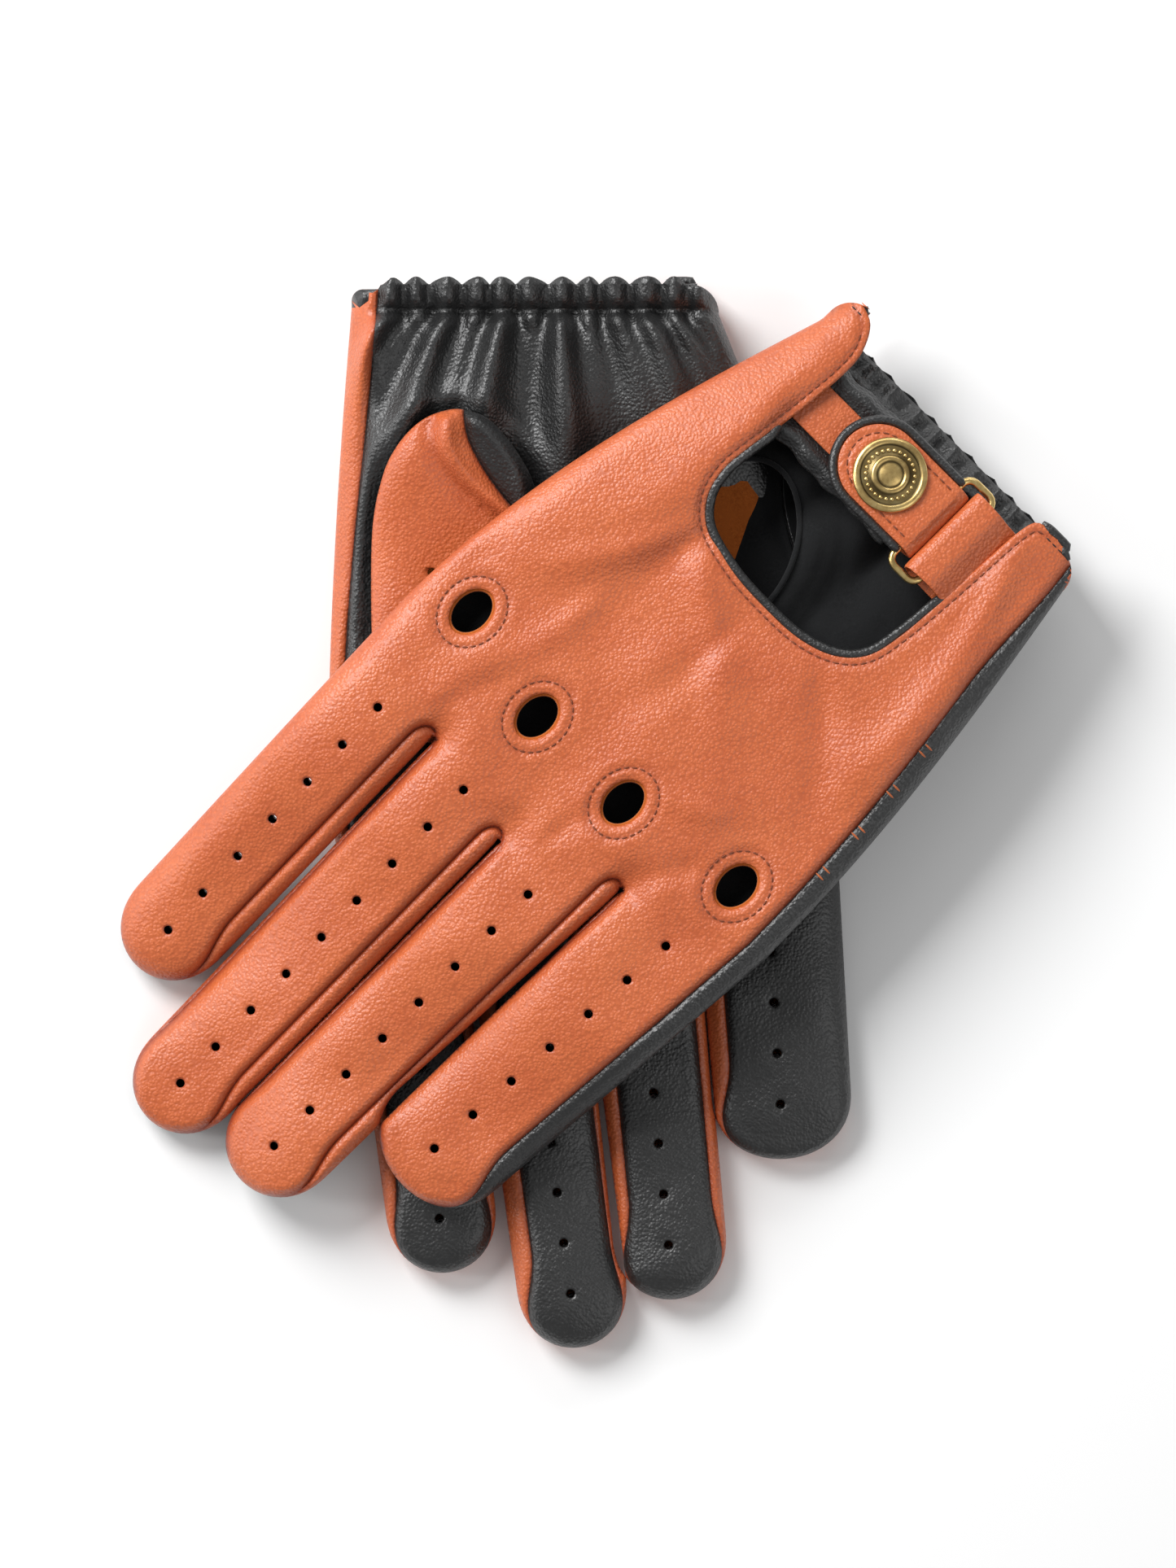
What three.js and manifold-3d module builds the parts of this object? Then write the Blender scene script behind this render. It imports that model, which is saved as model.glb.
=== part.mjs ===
// A pair of leather driving gloves, lying one on the other as a pair is laid out on a counter.
// The right glove lies palm up on the table. The left glove lies across it, back up, and drapes off its
// edges. Each glove is drawn in its own frame in millimetres: +X towards the thumb side, +Y towards the
// fingertips, +Z out of the back of the hand, with the origin on the knuckle line. The right glove is that
// glove mirrored in Z. Every leather piece is then raised by what it lies on, and the pair is centred on its
// box.

import * as THREE from 'three';
import { LoftGeometry } from 'three/addons/geometries/LoftGeometry.js';
import { mergeVertices } from 'three/addons/utils/BufferGeometryUtils.js';
import Module from 'manifold-3d';

const wasm = await Module();
wasm.setup();

// ---------------------------------------------------------------- driving dimensions

const leather = 1.0;            // thickness of the glove leather
const clear = 0.3;              // gap between pieces that touch
const thickness = 10;           // the empty hand, lying flat
const stallThickness = 10;      // an empty finger stall, lying flat
const cuffSag = 3.5;            // how much further the palm hangs open at the cuff

const handLength = 106;         // knuckle line to the end of the palm's cuff
const cuffWidth = 77;
const littleFlapEnd = 108.5;    // knuckle line to the ends of the two flaps of the back
const thumbFlapEnd = 114.5;
const flapCorner = 6;

const stalls = {                // width at the knuckle line, and reach of the tip beyond it
	index: { width: 25, reach: 100, knuckleDrop: 8.5 },
	middle: { width: 25, reach: 119.5, knuckleDrop: 2.5 },
	ring: { width: 25.8, reach: 112.5, knuckleDrop: 2.5 },
	little: { width: 31.6, reach: 86, knuckleDrop: 7 },
};
const stallGap = 0.6;           // between neighbouring stalls
const stallTaper = 0.06;        // share of its width that a stall loses towards the tip
const tipRound = 14;            // length of a stall's rounded end
const crotch = [18.6, 22.1, 8.9];   // from the knuckle line to the webs, index side first
const knuckleEnd = 2;           // where the hand gives way to the roots of the stalls
const seamInset = 3.5;          // from a stall's edge to the seam of its fourchette
const sideWrap = 5;             // from the hand's edge to the seams that join back and palm

const knuckleHole = { x: 4.2, y: 5.6 };
const facingWidth = 2.8;
const facingLeather = 0.6;

const thumb = { length: 71, width: 29, thickness: 6, round: 15, baseTaper: 18, holeX: 11.5, holeY: 16 };

const cutout = { halfWidth: 25.5, end: 53, corner: 14 };   // the opening over the wrist
const pipingRadius = 0.9;

const strap = {
	y: -91.3, base: 10.5, lining: 21.5, tail: 18.2, tailTip: 13, baseEnd: 29.5, thin: 0.9, tailThick: 1.6,
};
const ring = { wire: 0.85, width: 7.9, length: 25.3, corner: 2.2, x: -11.3, z: 3.85 };
const keeper = { width: 22.4, leather: 0.9, end: -31, endZ: 1.95 };
const snap = { x: 1, cap: 8.2, capHeight: 1.9, flange: 4.6, socket: 5.2, bore: 2.1, stud: 1.7, post: 1.2 };
const elastic = { length: 56, width: 6, thickness: 1, y: -99 };

// How each glove lies: how far its cuff is swung to the thumb side, how its row of stalls is skewed
// (mm of reach per mm across), the lean of each stall and of the folded thumb in degrees, and its turn.
const leftPose = {
	name: 'left', mirrored: false, turn: 135, cuffShift: -3.5, knuckleShift: 1.3, skew: -0.08,
	lean: { index: -1.4, middle: -0.9, ring: 0.3, little: 3.7 },
	thumbBase: [24, -79], thumbLean: -23,
};
const rightPose = {
	name: 'right', mirrored: true, turn: 180, cuffShift: 12.2, knuckleShift: 1.5, skew: 0.13,
	lean: { index: -7.3, middle: -7.6, ring: -5.6, little: -3.8 },
	thumbBase: [31, -80], thumbLean: 0,
};

const tan = new THREE.MeshStandardMaterial({ color: 0xc96a3e, roughness: 0.5, metalness: 0 });
const black = new THREE.MeshStandardMaterial({ color: 0x26282a, roughness: 0.45, metalness: 0 });
const brass = new THREE.MeshStandardMaterial({ color: 0xb39a4e, roughness: 0.35, metalness: 1 });
const elasticCloth = new THREE.MeshStandardMaterial({ color: 0x1c1c1e, roughness: 0.9, metalness: 0 });

const rad = THREE.MathUtils.degToRad;
const smooth = THREE.MathUtils.smoothstep;

// ---------------------------------------------------------------- solids

// A closed three.js geometry as a manifold-3d solid.
function solid(geometry) {
	geometry.deleteAttribute('normal');
	geometry.deleteAttribute('uv');
	const merged = mergeVertices(new THREE.BufferGeometry().copy(geometry), 1e-4);
	return new wasm.Manifold(new wasm.Mesh({
		numProp: 3,
		vertProperties: merged.attributes.position.array,
		triVerts: new Uint32Array(merged.index.array),
	}));
}

// A manifold-3d solid as a three.js geometry.
function geometryOf(body) {
	const mesh = body.getMesh();
	const points = new Float32Array(mesh.numVert * 3);
	for (let i = 0; i < mesh.numVert; i++) {
		points.set(mesh.vertProperties.subarray(i * mesh.numProp, i * mesh.numProp + 3), i * 3);
	}
	const geometry = new THREE.BufferGeometry();
	geometry.setAttribute('position', new THREE.BufferAttribute(points, 3));
	geometry.setIndex(new THREE.BufferAttribute(mesh.triVerts, 1));
	return geometry;
}

const union = (bodies) => bodies.reduce((sum, body) => sum.add(body));

// An outline in plan, as points or a shape, raised from one height to another.
function prism(outline, low, high, curveSegments = 6) {
	const points = Array.isArray(outline) ? outline : outline.getPoints(curveSegments);
	const apart = points.filter((p, i) => p.distanceTo(points.at(i - 1)) > 0.02);
	const depth = high - low;
	const geometry = new THREE.ExtrudeGeometry(new THREE.Shape(apart), { depth, bevelEnabled: false });
	return solid(geometry.translate(0, 0, low));
}

function ellipse(x, y, radiusX, radiusY) {
	return new THREE.Shape().absellipse(x, y, radiusX, radiusY, 0, 2 * Math.PI);
}

// A round rod along a curve.
function rod(curve, radius, steps, sides = 6) {
	const section = new THREE.Shape().absarc(0, 0, radius, 0, 2 * Math.PI);
	return new THREE.ExtrudeGeometry(section, { steps, curveSegments: sides / 2, extrudePath: curve });
}

// A strip of leather of one thickness that follows a line in the X-Z plane, centred on y.
function strip(line, thick, width, y) {
	const sides = [1, -1].map((side) => line.map((p, i) => {
		const along = line[Math.min(i + 1, line.length - 1)].clone().sub(line[Math.max(i - 1, 0)]).normalize();
		return new THREE.Vector2(p.x - along.y * side * thick / 2, p.y + along.x * side * thick / 2);
	}));
	const shape = new THREE.Shape([...sides[0], ...sides[1].reverse()]);
	const geometry = new THREE.ExtrudeGeometry(shape, { depth: width, bevelEnabled: false });
	return geometry.rotateX(Math.PI / 2).translate(0, y + width / 2, 0);
}

// Points on an arc, in degrees, as a line for strip().
function arc(x, z, radius, from, to, count) {
	return Array.from({ length: count }, (_, i) => {
		const angle = rad(from + (to - from) * i / (count - 1));
		return new THREE.Vector2(x + radius * Math.cos(angle), z + radius * Math.sin(angle));
	});
}

function turned(profile, x, y, segments = 16) {
	const points = profile.map(([radius, height]) => new THREE.Vector2(radius, height));
	return new THREE.LatheGeometry(points, segments).rotateX(Math.PI / 2).translate(x, y, 0);
}

// Points round a flat rounded section, from the little side over the back: fractions of the half width.
const roundness = 2.8;
const handFractions = [0.94, 0.74, 0.46, 0.16];
const stallFractions = [0.88, 0.42];
function sectionPoints(fractions, place) {
	const across = [...fractions.map((f) => -f), ...fractions.toReversed()];
	const up = (f) => (1 - Math.abs(f) ** roundness) ** (1 / roundness);
	return [
		place(-1, 0), ...across.map((f) => place(f, up(f))),
		place(1, 0), ...across.toReversed().map((f) => place(f, -up(f))),
	];
}

// ---------------------------------------------------------------- the lie of the gloves

const rightLift = 3.9;          // the right glove's strap and snap are under it, at the cuff
const liftFrom = -79;
const liftTo = -42;
const underHand = thickness + 1.4;                     // over the right glove alone
const underThumbs = thickness + thumb.thickness + 5;   // over its folded thumb as well
const droop = 8;                // how far the left glove's free cuff hangs
const fingersDrop = [22, 98];   // where its fingers start to hang, and where they have come down

// Leather above the table at a place on the left glove (x, y) that lies over (tableX, tableY): the hand bends
// only along its length, and each finger rests on the right glove or on the table.
function leftLie(x, y, tableX, tableY) {
	const hand = underThumbs * (1 - smooth(y, ...fingersDrop)) - droop * (1 - smooth(y, -135, -55));
	const beyond = Math.hypot(tableX, Math.max(0, tableY - 40));
	const over = underHand * (1 - smooth(beyond, 47, 92));
	const power = 6;
	return (Math.max(0, hand) ** power + over ** power) ** (1 / power);
}

// How far the table is below the right glove at y in its own frame.
const rightLie = (x, y) => -rightLift * (1 - smooth(y, liftFrom, liftTo));

// How far the palm hangs below the back's half of a glove at y.
const sag = (y) => cuffSag * (1 - smooth(y, -handLength, -45));

// ---------------------------------------------------------------- one glove

function buildGlove(pose) {
	const order = ['index', 'middle', 'ring', 'little'];
	const widths = order.map((name) => stalls[name].width);
	const knuckleWidth = widths.reduce((sum, width) => sum + width) + 3 * stallGap;

	// the hand in plan: its middle and half its width at y, and how far the palm hangs below the mid-plane
	const ease = (y) => Math.sin(Math.PI / 2 * THREE.MathUtils.clamp(1 + y / handLength, 0, 1));
	const middle = (y) => pose.cuffShift * (1 - ease(y)) + pose.knuckleShift * ease(y);
	const half = (y) => cuffWidth / 2 + (knuckleWidth - cuffWidth) / 2 * ease(y);

	function handLoft(inset, start, end) {
		const rows = [start, -94, -78, -62, -46, -30, -14, end].filter((y) => y >= start);
		return solid(new LoftGeometry(rows.map((y) => sectionPoints(handFractions, (across, up) => {
			const drop = up > 0 ? thickness / 2 : thickness / 2 + sag(y);
			return new THREE.Vector3(middle(y) + across * (half(y) - inset), y, up * (drop - inset));
		})), { capStart: true, capEnd: true }));
	}

	// the webs: the hand reaches on between each two stalls to a rounded end
	const webs = crotch.map((reach, i) => {
		const before = widths.slice(0, i + 1).reduce((sum, width) => sum + width + stallGap, -stallGap / 2);
		const base = middle(0) + knuckleWidth / 2 - before;
		const y = reach + pose.skew * (base - middle(0));
		const lean = Math.tan(rad(pose.lean[order[i]] + pose.lean[order[i + 1]]) / 2);
		return { y, xAt: (at) => base + at * lean };
	});
	function webLoft({ xAt, y }, inset) {
		const rows = [[-6, 1], [y - 8, 1], [y - 3, 0.85], [y - inset, 0.45]];
		return solid(new LoftGeometry(rows.map(([at, blunt]) => sectionPoints(stallFractions, (across, up) => (
			new THREE.Vector3(xAt(at) + across * (7 - inset), at, up * (thickness / 2 * blunt - inset))
		))), { capStart: true, capEnd: true }));
	}

	// the height of the back's outer face above the mid-plane
	function backHeight(x, y, inset = 0) {
		const across = Math.min(1, Math.abs(x - middle(y)) / (half(y) - inset));
		return (thickness / 2 - inset) * (1 - across ** roundness) ** (1 / roundness);
	}

	// a stall's frame: its base on the knuckle line, its length, and half its width at s along it
	const fingers = {};
	let edge = middle(0) + knuckleWidth / 2;
	for (const name of order) {
		const x = edge - stalls[name].width / 2;
		const lean = rad(pose.lean[name]);
		const length = (stalls[name].reach + pose.skew * (x - middle(0))) / Math.cos(lean);
		const round = tipRound;
		fingers[name] = {
			length,
			halfAt: (s) => {
				const body = stalls[name].width / 2 * (1 - stallTaper * Math.max(0, s) / length);
				const end = THREE.MathUtils.clamp((s - length + round) / round, 0, 1);
				return body * Math.sqrt(1 - end * end);
			},
			place: (q, s, z = 0) => new THREE.Vector3(
				x + s * Math.sin(lean) + q * Math.cos(lean),
				s * Math.cos(lean) - q * Math.sin(lean),
				z,
			),
		};
		edge -= stalls[name].width + stallGap;
	}

	function stallLoft(finger, inset) {
		const straight = finger.length - tipRound;
		const rows = [-14, 0, 22, 44, 66, 88].filter((s) => s < straight - 6);
		const tip = [0, 42, 76].map((angle) => straight + (tipRound - inset) * Math.sin(rad(angle)));
		const sections = [...rows, ...tip].map((s) => {
			const end = THREE.MathUtils.clamp((s - straight) / (tipRound - inset), 0, 1);
			const root = s < 0 ? 2.2 : 0;
			const width = (finger.halfAt(Math.min(s, straight)) - inset) * Math.sqrt(1 - end * end) - root;
			const height = (stallThickness / 2 - inset) * (1 - end * end) ** 0.35 - root;
			return sectionPoints(stallFractions, (across, up) => finger.place(across * width, s, up * height));
		});
		return solid(new LoftGeometry(sections, { capStart: true, capEnd: true }));
	}

	const cuffStart = -thumbFlapEnd;
	const gloveBody = (inset, start) => union([
		handLoft(inset, start, knuckleEnd),
		...webs.map((web) => webLoft(web, inset)),
		...order.map((name) => stallLoft(fingers[name], inset)),
	]);
	const shell = gloveBody(0, cuffStart).subtract(gloveBody(leather, cuffStart - 4));

	// cutters in plan, which the leather is cut into pieces with
	const far = 40;
	const wholePlan = [[-far * 3, -far * 4], [far * 3, -far * 4], [far * 3, far * 4], [-far * 3, far * 4]]
		.map(([x, y]) => new THREE.Vector2(x, y));
	const plan = (point) => new THREE.Vector2(point.x, point.y);

	// a band along one side of a stall: side is 1 on the thumb side, -1 on the little side
	function stallBand(name, side, inset, beyond, start) {
		const finger = fingers[name];
		const stop = finger.length - tipRound * 0.4 - (seamInset - inset);
		const rows = Array.from({ length: 4 }, (_, i) => start + (stop - start) * i / 3);
		const inner = rows.map((s) => plan(finger.place(side * (finger.halfAt(s) - inset), s)));
		const outer = rows.map((s) => {
			const edge = finger.halfAt(Math.min(s, finger.length - tipRound));
			return plan(finger.place(side * (edge + beyond), s));
		});
		const loop = [...inner, ...outer.reverse()];
		return prism(side > 0 ? loop.reverse() : loop, -far, far);
	}

	// a band along one side of the hand and on along its outer stall
	function sideBand(side, name, inset) {
		const rows = Array.from({ length: 8 }, (_, i) => -thumbFlapEnd - 6 + (thumbFlapEnd + 6) * i / 7);
		const place = (y, from) => new THREE.Vector2(middle(y) + side * (half(y) + from), y);
		const inner = rows.map((y) => place(y, -inset));
		const outer = rows.map((y) => place(y, 6));
		const loop = [...inner, ...outer.reverse()];
		return prism(side > 0 ? loop.reverse() : loop, -far, far)
			.add(stallBand(name, side, inset, 6, -4));
	}

	// the strips and web between two neighbouring stalls
	function forkBands(thumbSide, littleSide, inset) {
		const { xAt, y: end } = webs[order.indexOf(thumbSide)];
		const at = xAt(end);
		const wide = stallGap / 2 + inset;
		const low = end - inset;
		const web = [[at - wide, low], [at + wide, low], [at + wide, end + 4], [at - wide, end + 4]];
		return union([
			prism(web.map(([x, y]) => new THREE.Vector2(x, y)), -far, far),
			stallBand(thumbSide, -1, inset, stallGap / 2 + 0.05, end),
			stallBand(littleSide, 1, inset, stallGap / 2 + 0.05, end),
		]);
	}
	const pairs = [['index', 'middle'], ['middle', 'ring'], ['ring', 'little']];

	// the back's wrist opening, and the two flaps beside it, in plan
	const openX = middle(strap.y) + 2.5;
	function openingShape(inset) {
		const w = cutout.halfWidth - inset;
		const top = -cutout.end - inset;
		const r = cutout.corner - inset;
		return new THREE.Shape()
			.moveTo(openX - w, -thumbFlapEnd - 20)
			.lineTo(openX + w, -thumbFlapEnd - 20)
			.lineTo(openX + w, top - r)
			.absarc(openX + w - r, top - r, r, 0, Math.PI / 2)
			.absarc(openX - w + r, top - r, r, Math.PI / 2, Math.PI);
	}
	const edgeAt = (side, y) => middle(y) + side * (half(y) + 0.4);
	const seamAt = (y) => middle(y) - half(y) + sideWrap;
	const flaps = {
		little: { side: -1, inner: openX - cutout.halfWidth, outer: seamAt(-littleFlapEnd), end: littleFlapEnd },
		thumb: { side: 1, inner: openX + cutout.halfWidth, outer: edgeAt(1, -thumbFlapEnd), end: thumbFlapEnd },
	};
	// the end of a flap from its inner edge, grown by a distance: rounded at the inner corner, and at the
	// glove's edge where the back wraps round it
	function flapEndLine({ side, inner, outer, end }, grow) {
		const r = Math.min(flapCorner, Math.abs(outer - inner) / 2 - 0.5);
		const corner = (x, from) => [0, 30, 60, 90].map((step) => {
			const angle = rad(from + step);
			return new THREE.Vector2(x + side * (r + grow) * Math.cos(angle), -end + r + (r + grow) * Math.sin(angle));
		});
		const last = side > 0 ? corner(outer - r, 270) : [new THREE.Vector2(outer + grow + 0.5, -end - grow)];
		return [...corner(inner + side * r, 180), ...last];
	}
	function flapShape(flap) {
		const outer = [-95, -80].map((y) => new THREE.Vector2(edgeAt(flap.side, y) + flap.side * 3, y));
		const loop = [new THREE.Vector2(flap.inner, -80), ...flapEndLine(flap, 0), ...outer];
		return prism(flap.side > 0 ? loop : loop.reverse(), -far, far);
	}
	const flapPlan = union([
		prism([[-99, -82], [99, -82], [99, 160], [-99, 160]].map(([x, y]) => new THREE.Vector2(x, y)), -far, far),
		flapShape(flaps.little),
		flapShape(flaps.thumb),
	]);

	const above = prism(wholePlan, clear / 2, far);
	const below = prism(wholePlan, -far, -clear / 2);
	const thumbSideBand = (inset) => sideBand(1, 'index', inset);
	const littleSideBand = (inset) => sideBand(-1, 'little', inset);
	const forksCut = union(pairs.map(([a, b]) => forkBands(a, b, seamInset)));

	const holes = order.map((name) => {
		const at = fingers[name].place(0, -stalls[name].knuckleDrop);
		return { name, x: at.x, y: at.y };
	});
	const holePrisms = union(holes.map(({ x, y }) => (
		prism(ellipse(x, y, knuckleHole.x, knuckleHole.y), 0, far, 4)
	)));

	const meshes = [];
	const add = (name, geometry, material) => meshes.push({ name: `${pose.name}_${name}`, geometry, material });

	// the back: over the hand and fingers, and round the thumb side to a seam on the palm
	const back = shell
		.intersect(above.add(thumbSideBand(sideWrap)))
		.subtract(littleSideBand(sideWrap))
		.subtract(forksCut)
		.subtract(prism(openingShape(0), 0, far, 6))
		.subtract(holePrisms)
		.intersect(flapPlan);
	add('back_panel', geometryOf(back), tan);

	// the palm: under the hand and fingers, and round the little side to a seam on the back
	const thumbFrame = thumbPlan(pose);
	const thumbHole = ellipse(...thumbFrame.hole, thumb.holeX, thumb.holeY);
	const palm = shell
		.intersect(below.add(littleSideBand(sideWrap - clear)))
		.subtract(thumbSideBand(sideWrap + clear))
		.subtract(forksCut)
		.subtract(prism(thumbHole, -far, 0))
		.subtract(prism([[-99, -160], [99, -160], [99, -handLength], [-99, -handLength]]
			.map(([x, y]) => new THREE.Vector2(x, y)), -far, far));
	add('palm_panel', geometryOf(palm), black);

	for (const [a, b] of pairs) {
		const fork = shell.intersect(forkBands(a, b, seamInset - clear));
		add(`fourchettes_${a}_${b}`, geometryOf(fork), tan);
	}

	// a ring of leather under the back round each knuckle hole
	const facingShell = handLoft(leather + clear, -40, knuckleEnd + 8)
		.subtract(handLoft(leather + clear + facingLeather, -44, knuckleEnd + 10));
	for (const { name, x, y } of holes) {
		const outer = prism(ellipse(x, y, knuckleHole.x + facingWidth, knuckleHole.y + facingWidth), 0, far, 4);
		const inner = prism(ellipse(x, y, knuckleHole.x, knuckleHole.y), -1, far, 4);
		const trimmed = facingShell.intersect(outer).subtract(inner).subtract(littleSideBand(sideWrap + clear));
		add(`knuckle_facing_${name}`, geometryOf(trimmed), tan);
	}

	// the folded thumb: a closed bag that opens through the palm
	const thumbShell = thumbBody(thumbFrame, 0).subtract(thumbBody(thumbFrame, leather))
		.subtract(prism(thumbHole, thumbFrame.z, 0));
	const farSide = prism(wholePlan, -far, thumbFrame.z - clear / 2);
	const nearSide = prism(wholePlan, thumbFrame.z + clear / 2, far);
	add('thumb_back', geometryOf(thumbShell.intersect(farSide)), tan);
	add('thumb_front', geometryOf(thumbShell.intersect(nearSide)), black);

	// piping round the wrist opening, and bindings on the ends of the two flaps
	const openingEdge = openingShape(pipingRadius + clear).getPoints(8)
		.filter(({ y }) => y > strap.y + strap.lining / 2 + 2);
	const pipeLine = openingEdge.map(({ x, y }) => new THREE.Vector3(x, y, backHeight(x, y) - leather));
	pipeLine.unshift(new THREE.Vector3(pipeLine[0].x, -78.5, pipeLine[0].z));
	pipeLine.push(new THREE.Vector3(pipeLine.at(-1).x, -78.5, pipeLine.at(-1).z));
	add('opening_piping', rod(new THREE.CatmullRomCurve3(pipeLine), pipingRadius, 18), black);

	function binding(flap) {
		const line = flapEndLine(flap, pipingRadius + clear).slice(1).map(({ x, y }) => {
			const inside = THREE.MathUtils.clamp(x, edgeAt(-1, -100) + 3, edgeAt(1, -100) - 3);
			return new THREE.Vector3(x, y, backHeight(inside, y) - leather / 2);
		});
		return rod(new THREE.CatmullRomCurve3(line), pipingRadius, 12);
	}
	add('little_flap_binding', binding(flaps.little), black);
	add('thumb_flap_binding', binding(flaps.thumb), black);

	// the elastic inside the palm's cuff
	const band = new THREE.BoxGeometry(elastic.length, elastic.width, elastic.thickness, 6, 1, 1);
	const floorZ = -(thickness / 2 + sag(elastic.y) - leather) * 0.84 + elastic.thickness / 2 + clear;
	add('cuff_elastic', band.translate(middle(elastic.y), elastic.y, floorZ), elasticCloth);

	addStrap(add, openX);

	return { pose, meshes };
}

// ---------------------------------------------------------------- the thumb

function thumbPlan(pose) {
	const lean = rad(pose.thumbLean);
	const [x, y] = pose.thumbBase;
	const place = (q, s, z) => new THREE.Vector3(
		x + s * Math.sin(lean) + q * Math.cos(lean),
		y + s * Math.cos(lean) - q * Math.sin(lean),
		z,
	);
	const hole = place(0, thumb.holeY + 7, 0);
	return { place, hole: [hole.x, hole.y], z: -thickness / 2 - clear * 2 - thumb.thickness / 2 };
}

function thumbBody(frame, inset) {
	const end = thumb.length - inset;
	const rows = [inset, 3, 9, 18, 30, 43, thumb.length - thumb.round, end - 7, end - 2.5, end];
	const sections = rows.map((s) => {
		const start = Math.sqrt(THREE.MathUtils.clamp(s / thumb.baseTaper, 0.012, 1));
		const tip = THREE.MathUtils.clamp((s - thumb.length + thumb.round) / thumb.round, 0, 0.985);
		const half = thumb.width / 2 * start * Math.sqrt(1 - tip * tip);
		const height = thumb.thickness / 2 * Math.min(1, start * 1.6) * (1 - tip * tip) ** 0.35;
		return sectionPoints(stallFractions, (across, up) => {
			const rise = up * Math.max(0.2, height - inset);
			const at = frame.place(across * Math.max(0.3, half - inset), s, frame.z + rise);
			return at.setZ(at.z - sag(at.y));
		});
	});
	return solid(new LoftGeometry(sections, { capStart: true, capEnd: true }));
}

// ---------------------------------------------------------------- the strap, its ring and snap

function addStrap(add, openX) {
	const at = (x) => openX + x;
	const barX = at(ring.x);
	const wrap = ring.wire + clear + strap.tailThick / 2;
	const tailZ = ring.z + wrap;
	const baseZ = ring.z - wrap + strap.tailThick / 2 - strap.thin / 2;
	const liningZ = baseZ - strap.thin - clear;
	const baseStart = barX + wrap + strap.tailThick / 2 + clear;
	const line = (x0, x1, z) => [x0, (x0 + x1) / 2, x1].map((x) => new THREE.Vector2(x, z));
	const snapX = at(snap.x);
	const postHole = prism(ellipse(snapX, strap.y, snap.post + clear, snap.post + clear), -20, 20, 6);

	const base = solid(strip(line(baseStart, at(strap.baseEnd), baseZ), strap.thin, strap.base, strap.y));
	add('strap_base', geometryOf(base.subtract(postHole)), tan);
	const lining = solid(strip(line(baseStart, at(strap.baseEnd), liningZ), strap.thin, strap.lining, strap.y));
	add('strap_lining', geometryOf(lining.subtract(postHole)), black);

	// the tail: it wraps the ring's bar and comes back over the base to a round end
	const tailLine = [...arc(barX, ring.z, wrap, 285, 90, 11), ...line(barX + 6, at(strap.tailTip), tailZ)];
	const round = strap.tail / 2;
	const tailPlan = new THREE.Shape()
		.moveTo(barX - 9, strap.y - round)
		.lineTo(at(strap.tailTip) - round, strap.y - round)
		.absarc(at(strap.tailTip) - round, strap.y, round, -Math.PI / 2, Math.PI / 2)
		.lineTo(barX - 9, strap.y + round);
	const shankRadius = snap.stud + 2 * clear;
	const shankHole = prism(ellipse(snapX, strap.y, shankRadius, shankRadius), tailZ - 3, 20, 6);
	const tail = solid(strip(tailLine, strap.tailThick, strap.tail + 6, strap.y))
		.intersect(prism(tailPlan, -20, 20, 10))
		.subtract(shankHole);
	add('strap_tail', geometryOf(tail), tan);

	const pipe = strap.tailThick / 2;
	const edge = round + pipe + clear;
	const pipePoint = (x, side) => new THREE.Vector3(x, strap.y + side, tailZ);
	const pipeLine = [pipePoint(barX, -edge), pipePoint(barX + 8, -edge)];
	for (let angle = -90; angle <= 90; angle += 22.5) {
		const centre = at(strap.tailTip) - round;
		pipeLine.push(pipePoint(centre + edge * Math.cos(rad(angle)), edge * Math.sin(rad(angle))));
	}
	pipeLine.push(pipePoint(barX + 8, edge), pipePoint(barX, edge));
	add('strap_tail_piping', rod(new THREE.CatmullRomCurve3(pipeLine, false, 'centripetal'), pipe, 20), black);

	// the ring: a closed loop of wire, with one bar in the tail's wrap and one in the keeper
	const hx = ring.width / 2;
	const hy = ring.length / 2;
	const ringX = barX - hx;
	const straight = 1.2;       // of wire drawn beyond each end of a corner, so that the bars stay straight
	const corners = [[hx, hy, 0], [-hx, hy, 90], [-hx, -hy, 180], [hx, -hy, 270]];
	const loop = corners.flatMap(([x, y, from]) => {
		const cx = ringX + x - Math.sign(x) * ring.corner;
		const cy = strap.y + y - Math.sign(y) * ring.corner;
		return [[0, -straight], [0, 0], [45, 0], [90, 0], [90, straight]].map(([step, on]) => {
			const angle = rad(from + step);
			const px = cx + ring.corner * Math.cos(angle) - on * Math.sin(angle);
			const py = cy + ring.corner * Math.sin(angle) + on * Math.cos(angle);
			return new THREE.Vector3(px, py, ring.z);
		});
	});
	const ringCurve = new THREE.CatmullRomCurve3(loop, true, 'centripetal');
	add('strap_ring', new THREE.TubeGeometry(ringCurve, 60, ring.wire, 6, true), brass);

	// the keeper: a folded loop sewn under the little flap, round the ring's far bar
	const farBar = barX - ring.width;
	const hug = ring.wire + clear + keeper.leather / 2;
	const keeperLine = [
		new THREE.Vector2(at(keeper.end), keeper.endZ - keeper.leather - clear),
		new THREE.Vector2(at(keeper.end) + 5, keeper.endZ - keeper.leather - clear),
		...arc(farBar, ring.z, hug, 255, 460, 12),
		new THREE.Vector2(farBar - 2.6, ring.z + hug * 0.72),
		new THREE.Vector2(at(keeper.end) + 5.4, keeper.endZ + 0.3),
		new THREE.Vector2(at(keeper.end), keeper.endZ),
	];
	add('strap_keeper', strip(keeperLine, keeper.leather, keeper.width, strap.y), tan);

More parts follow.
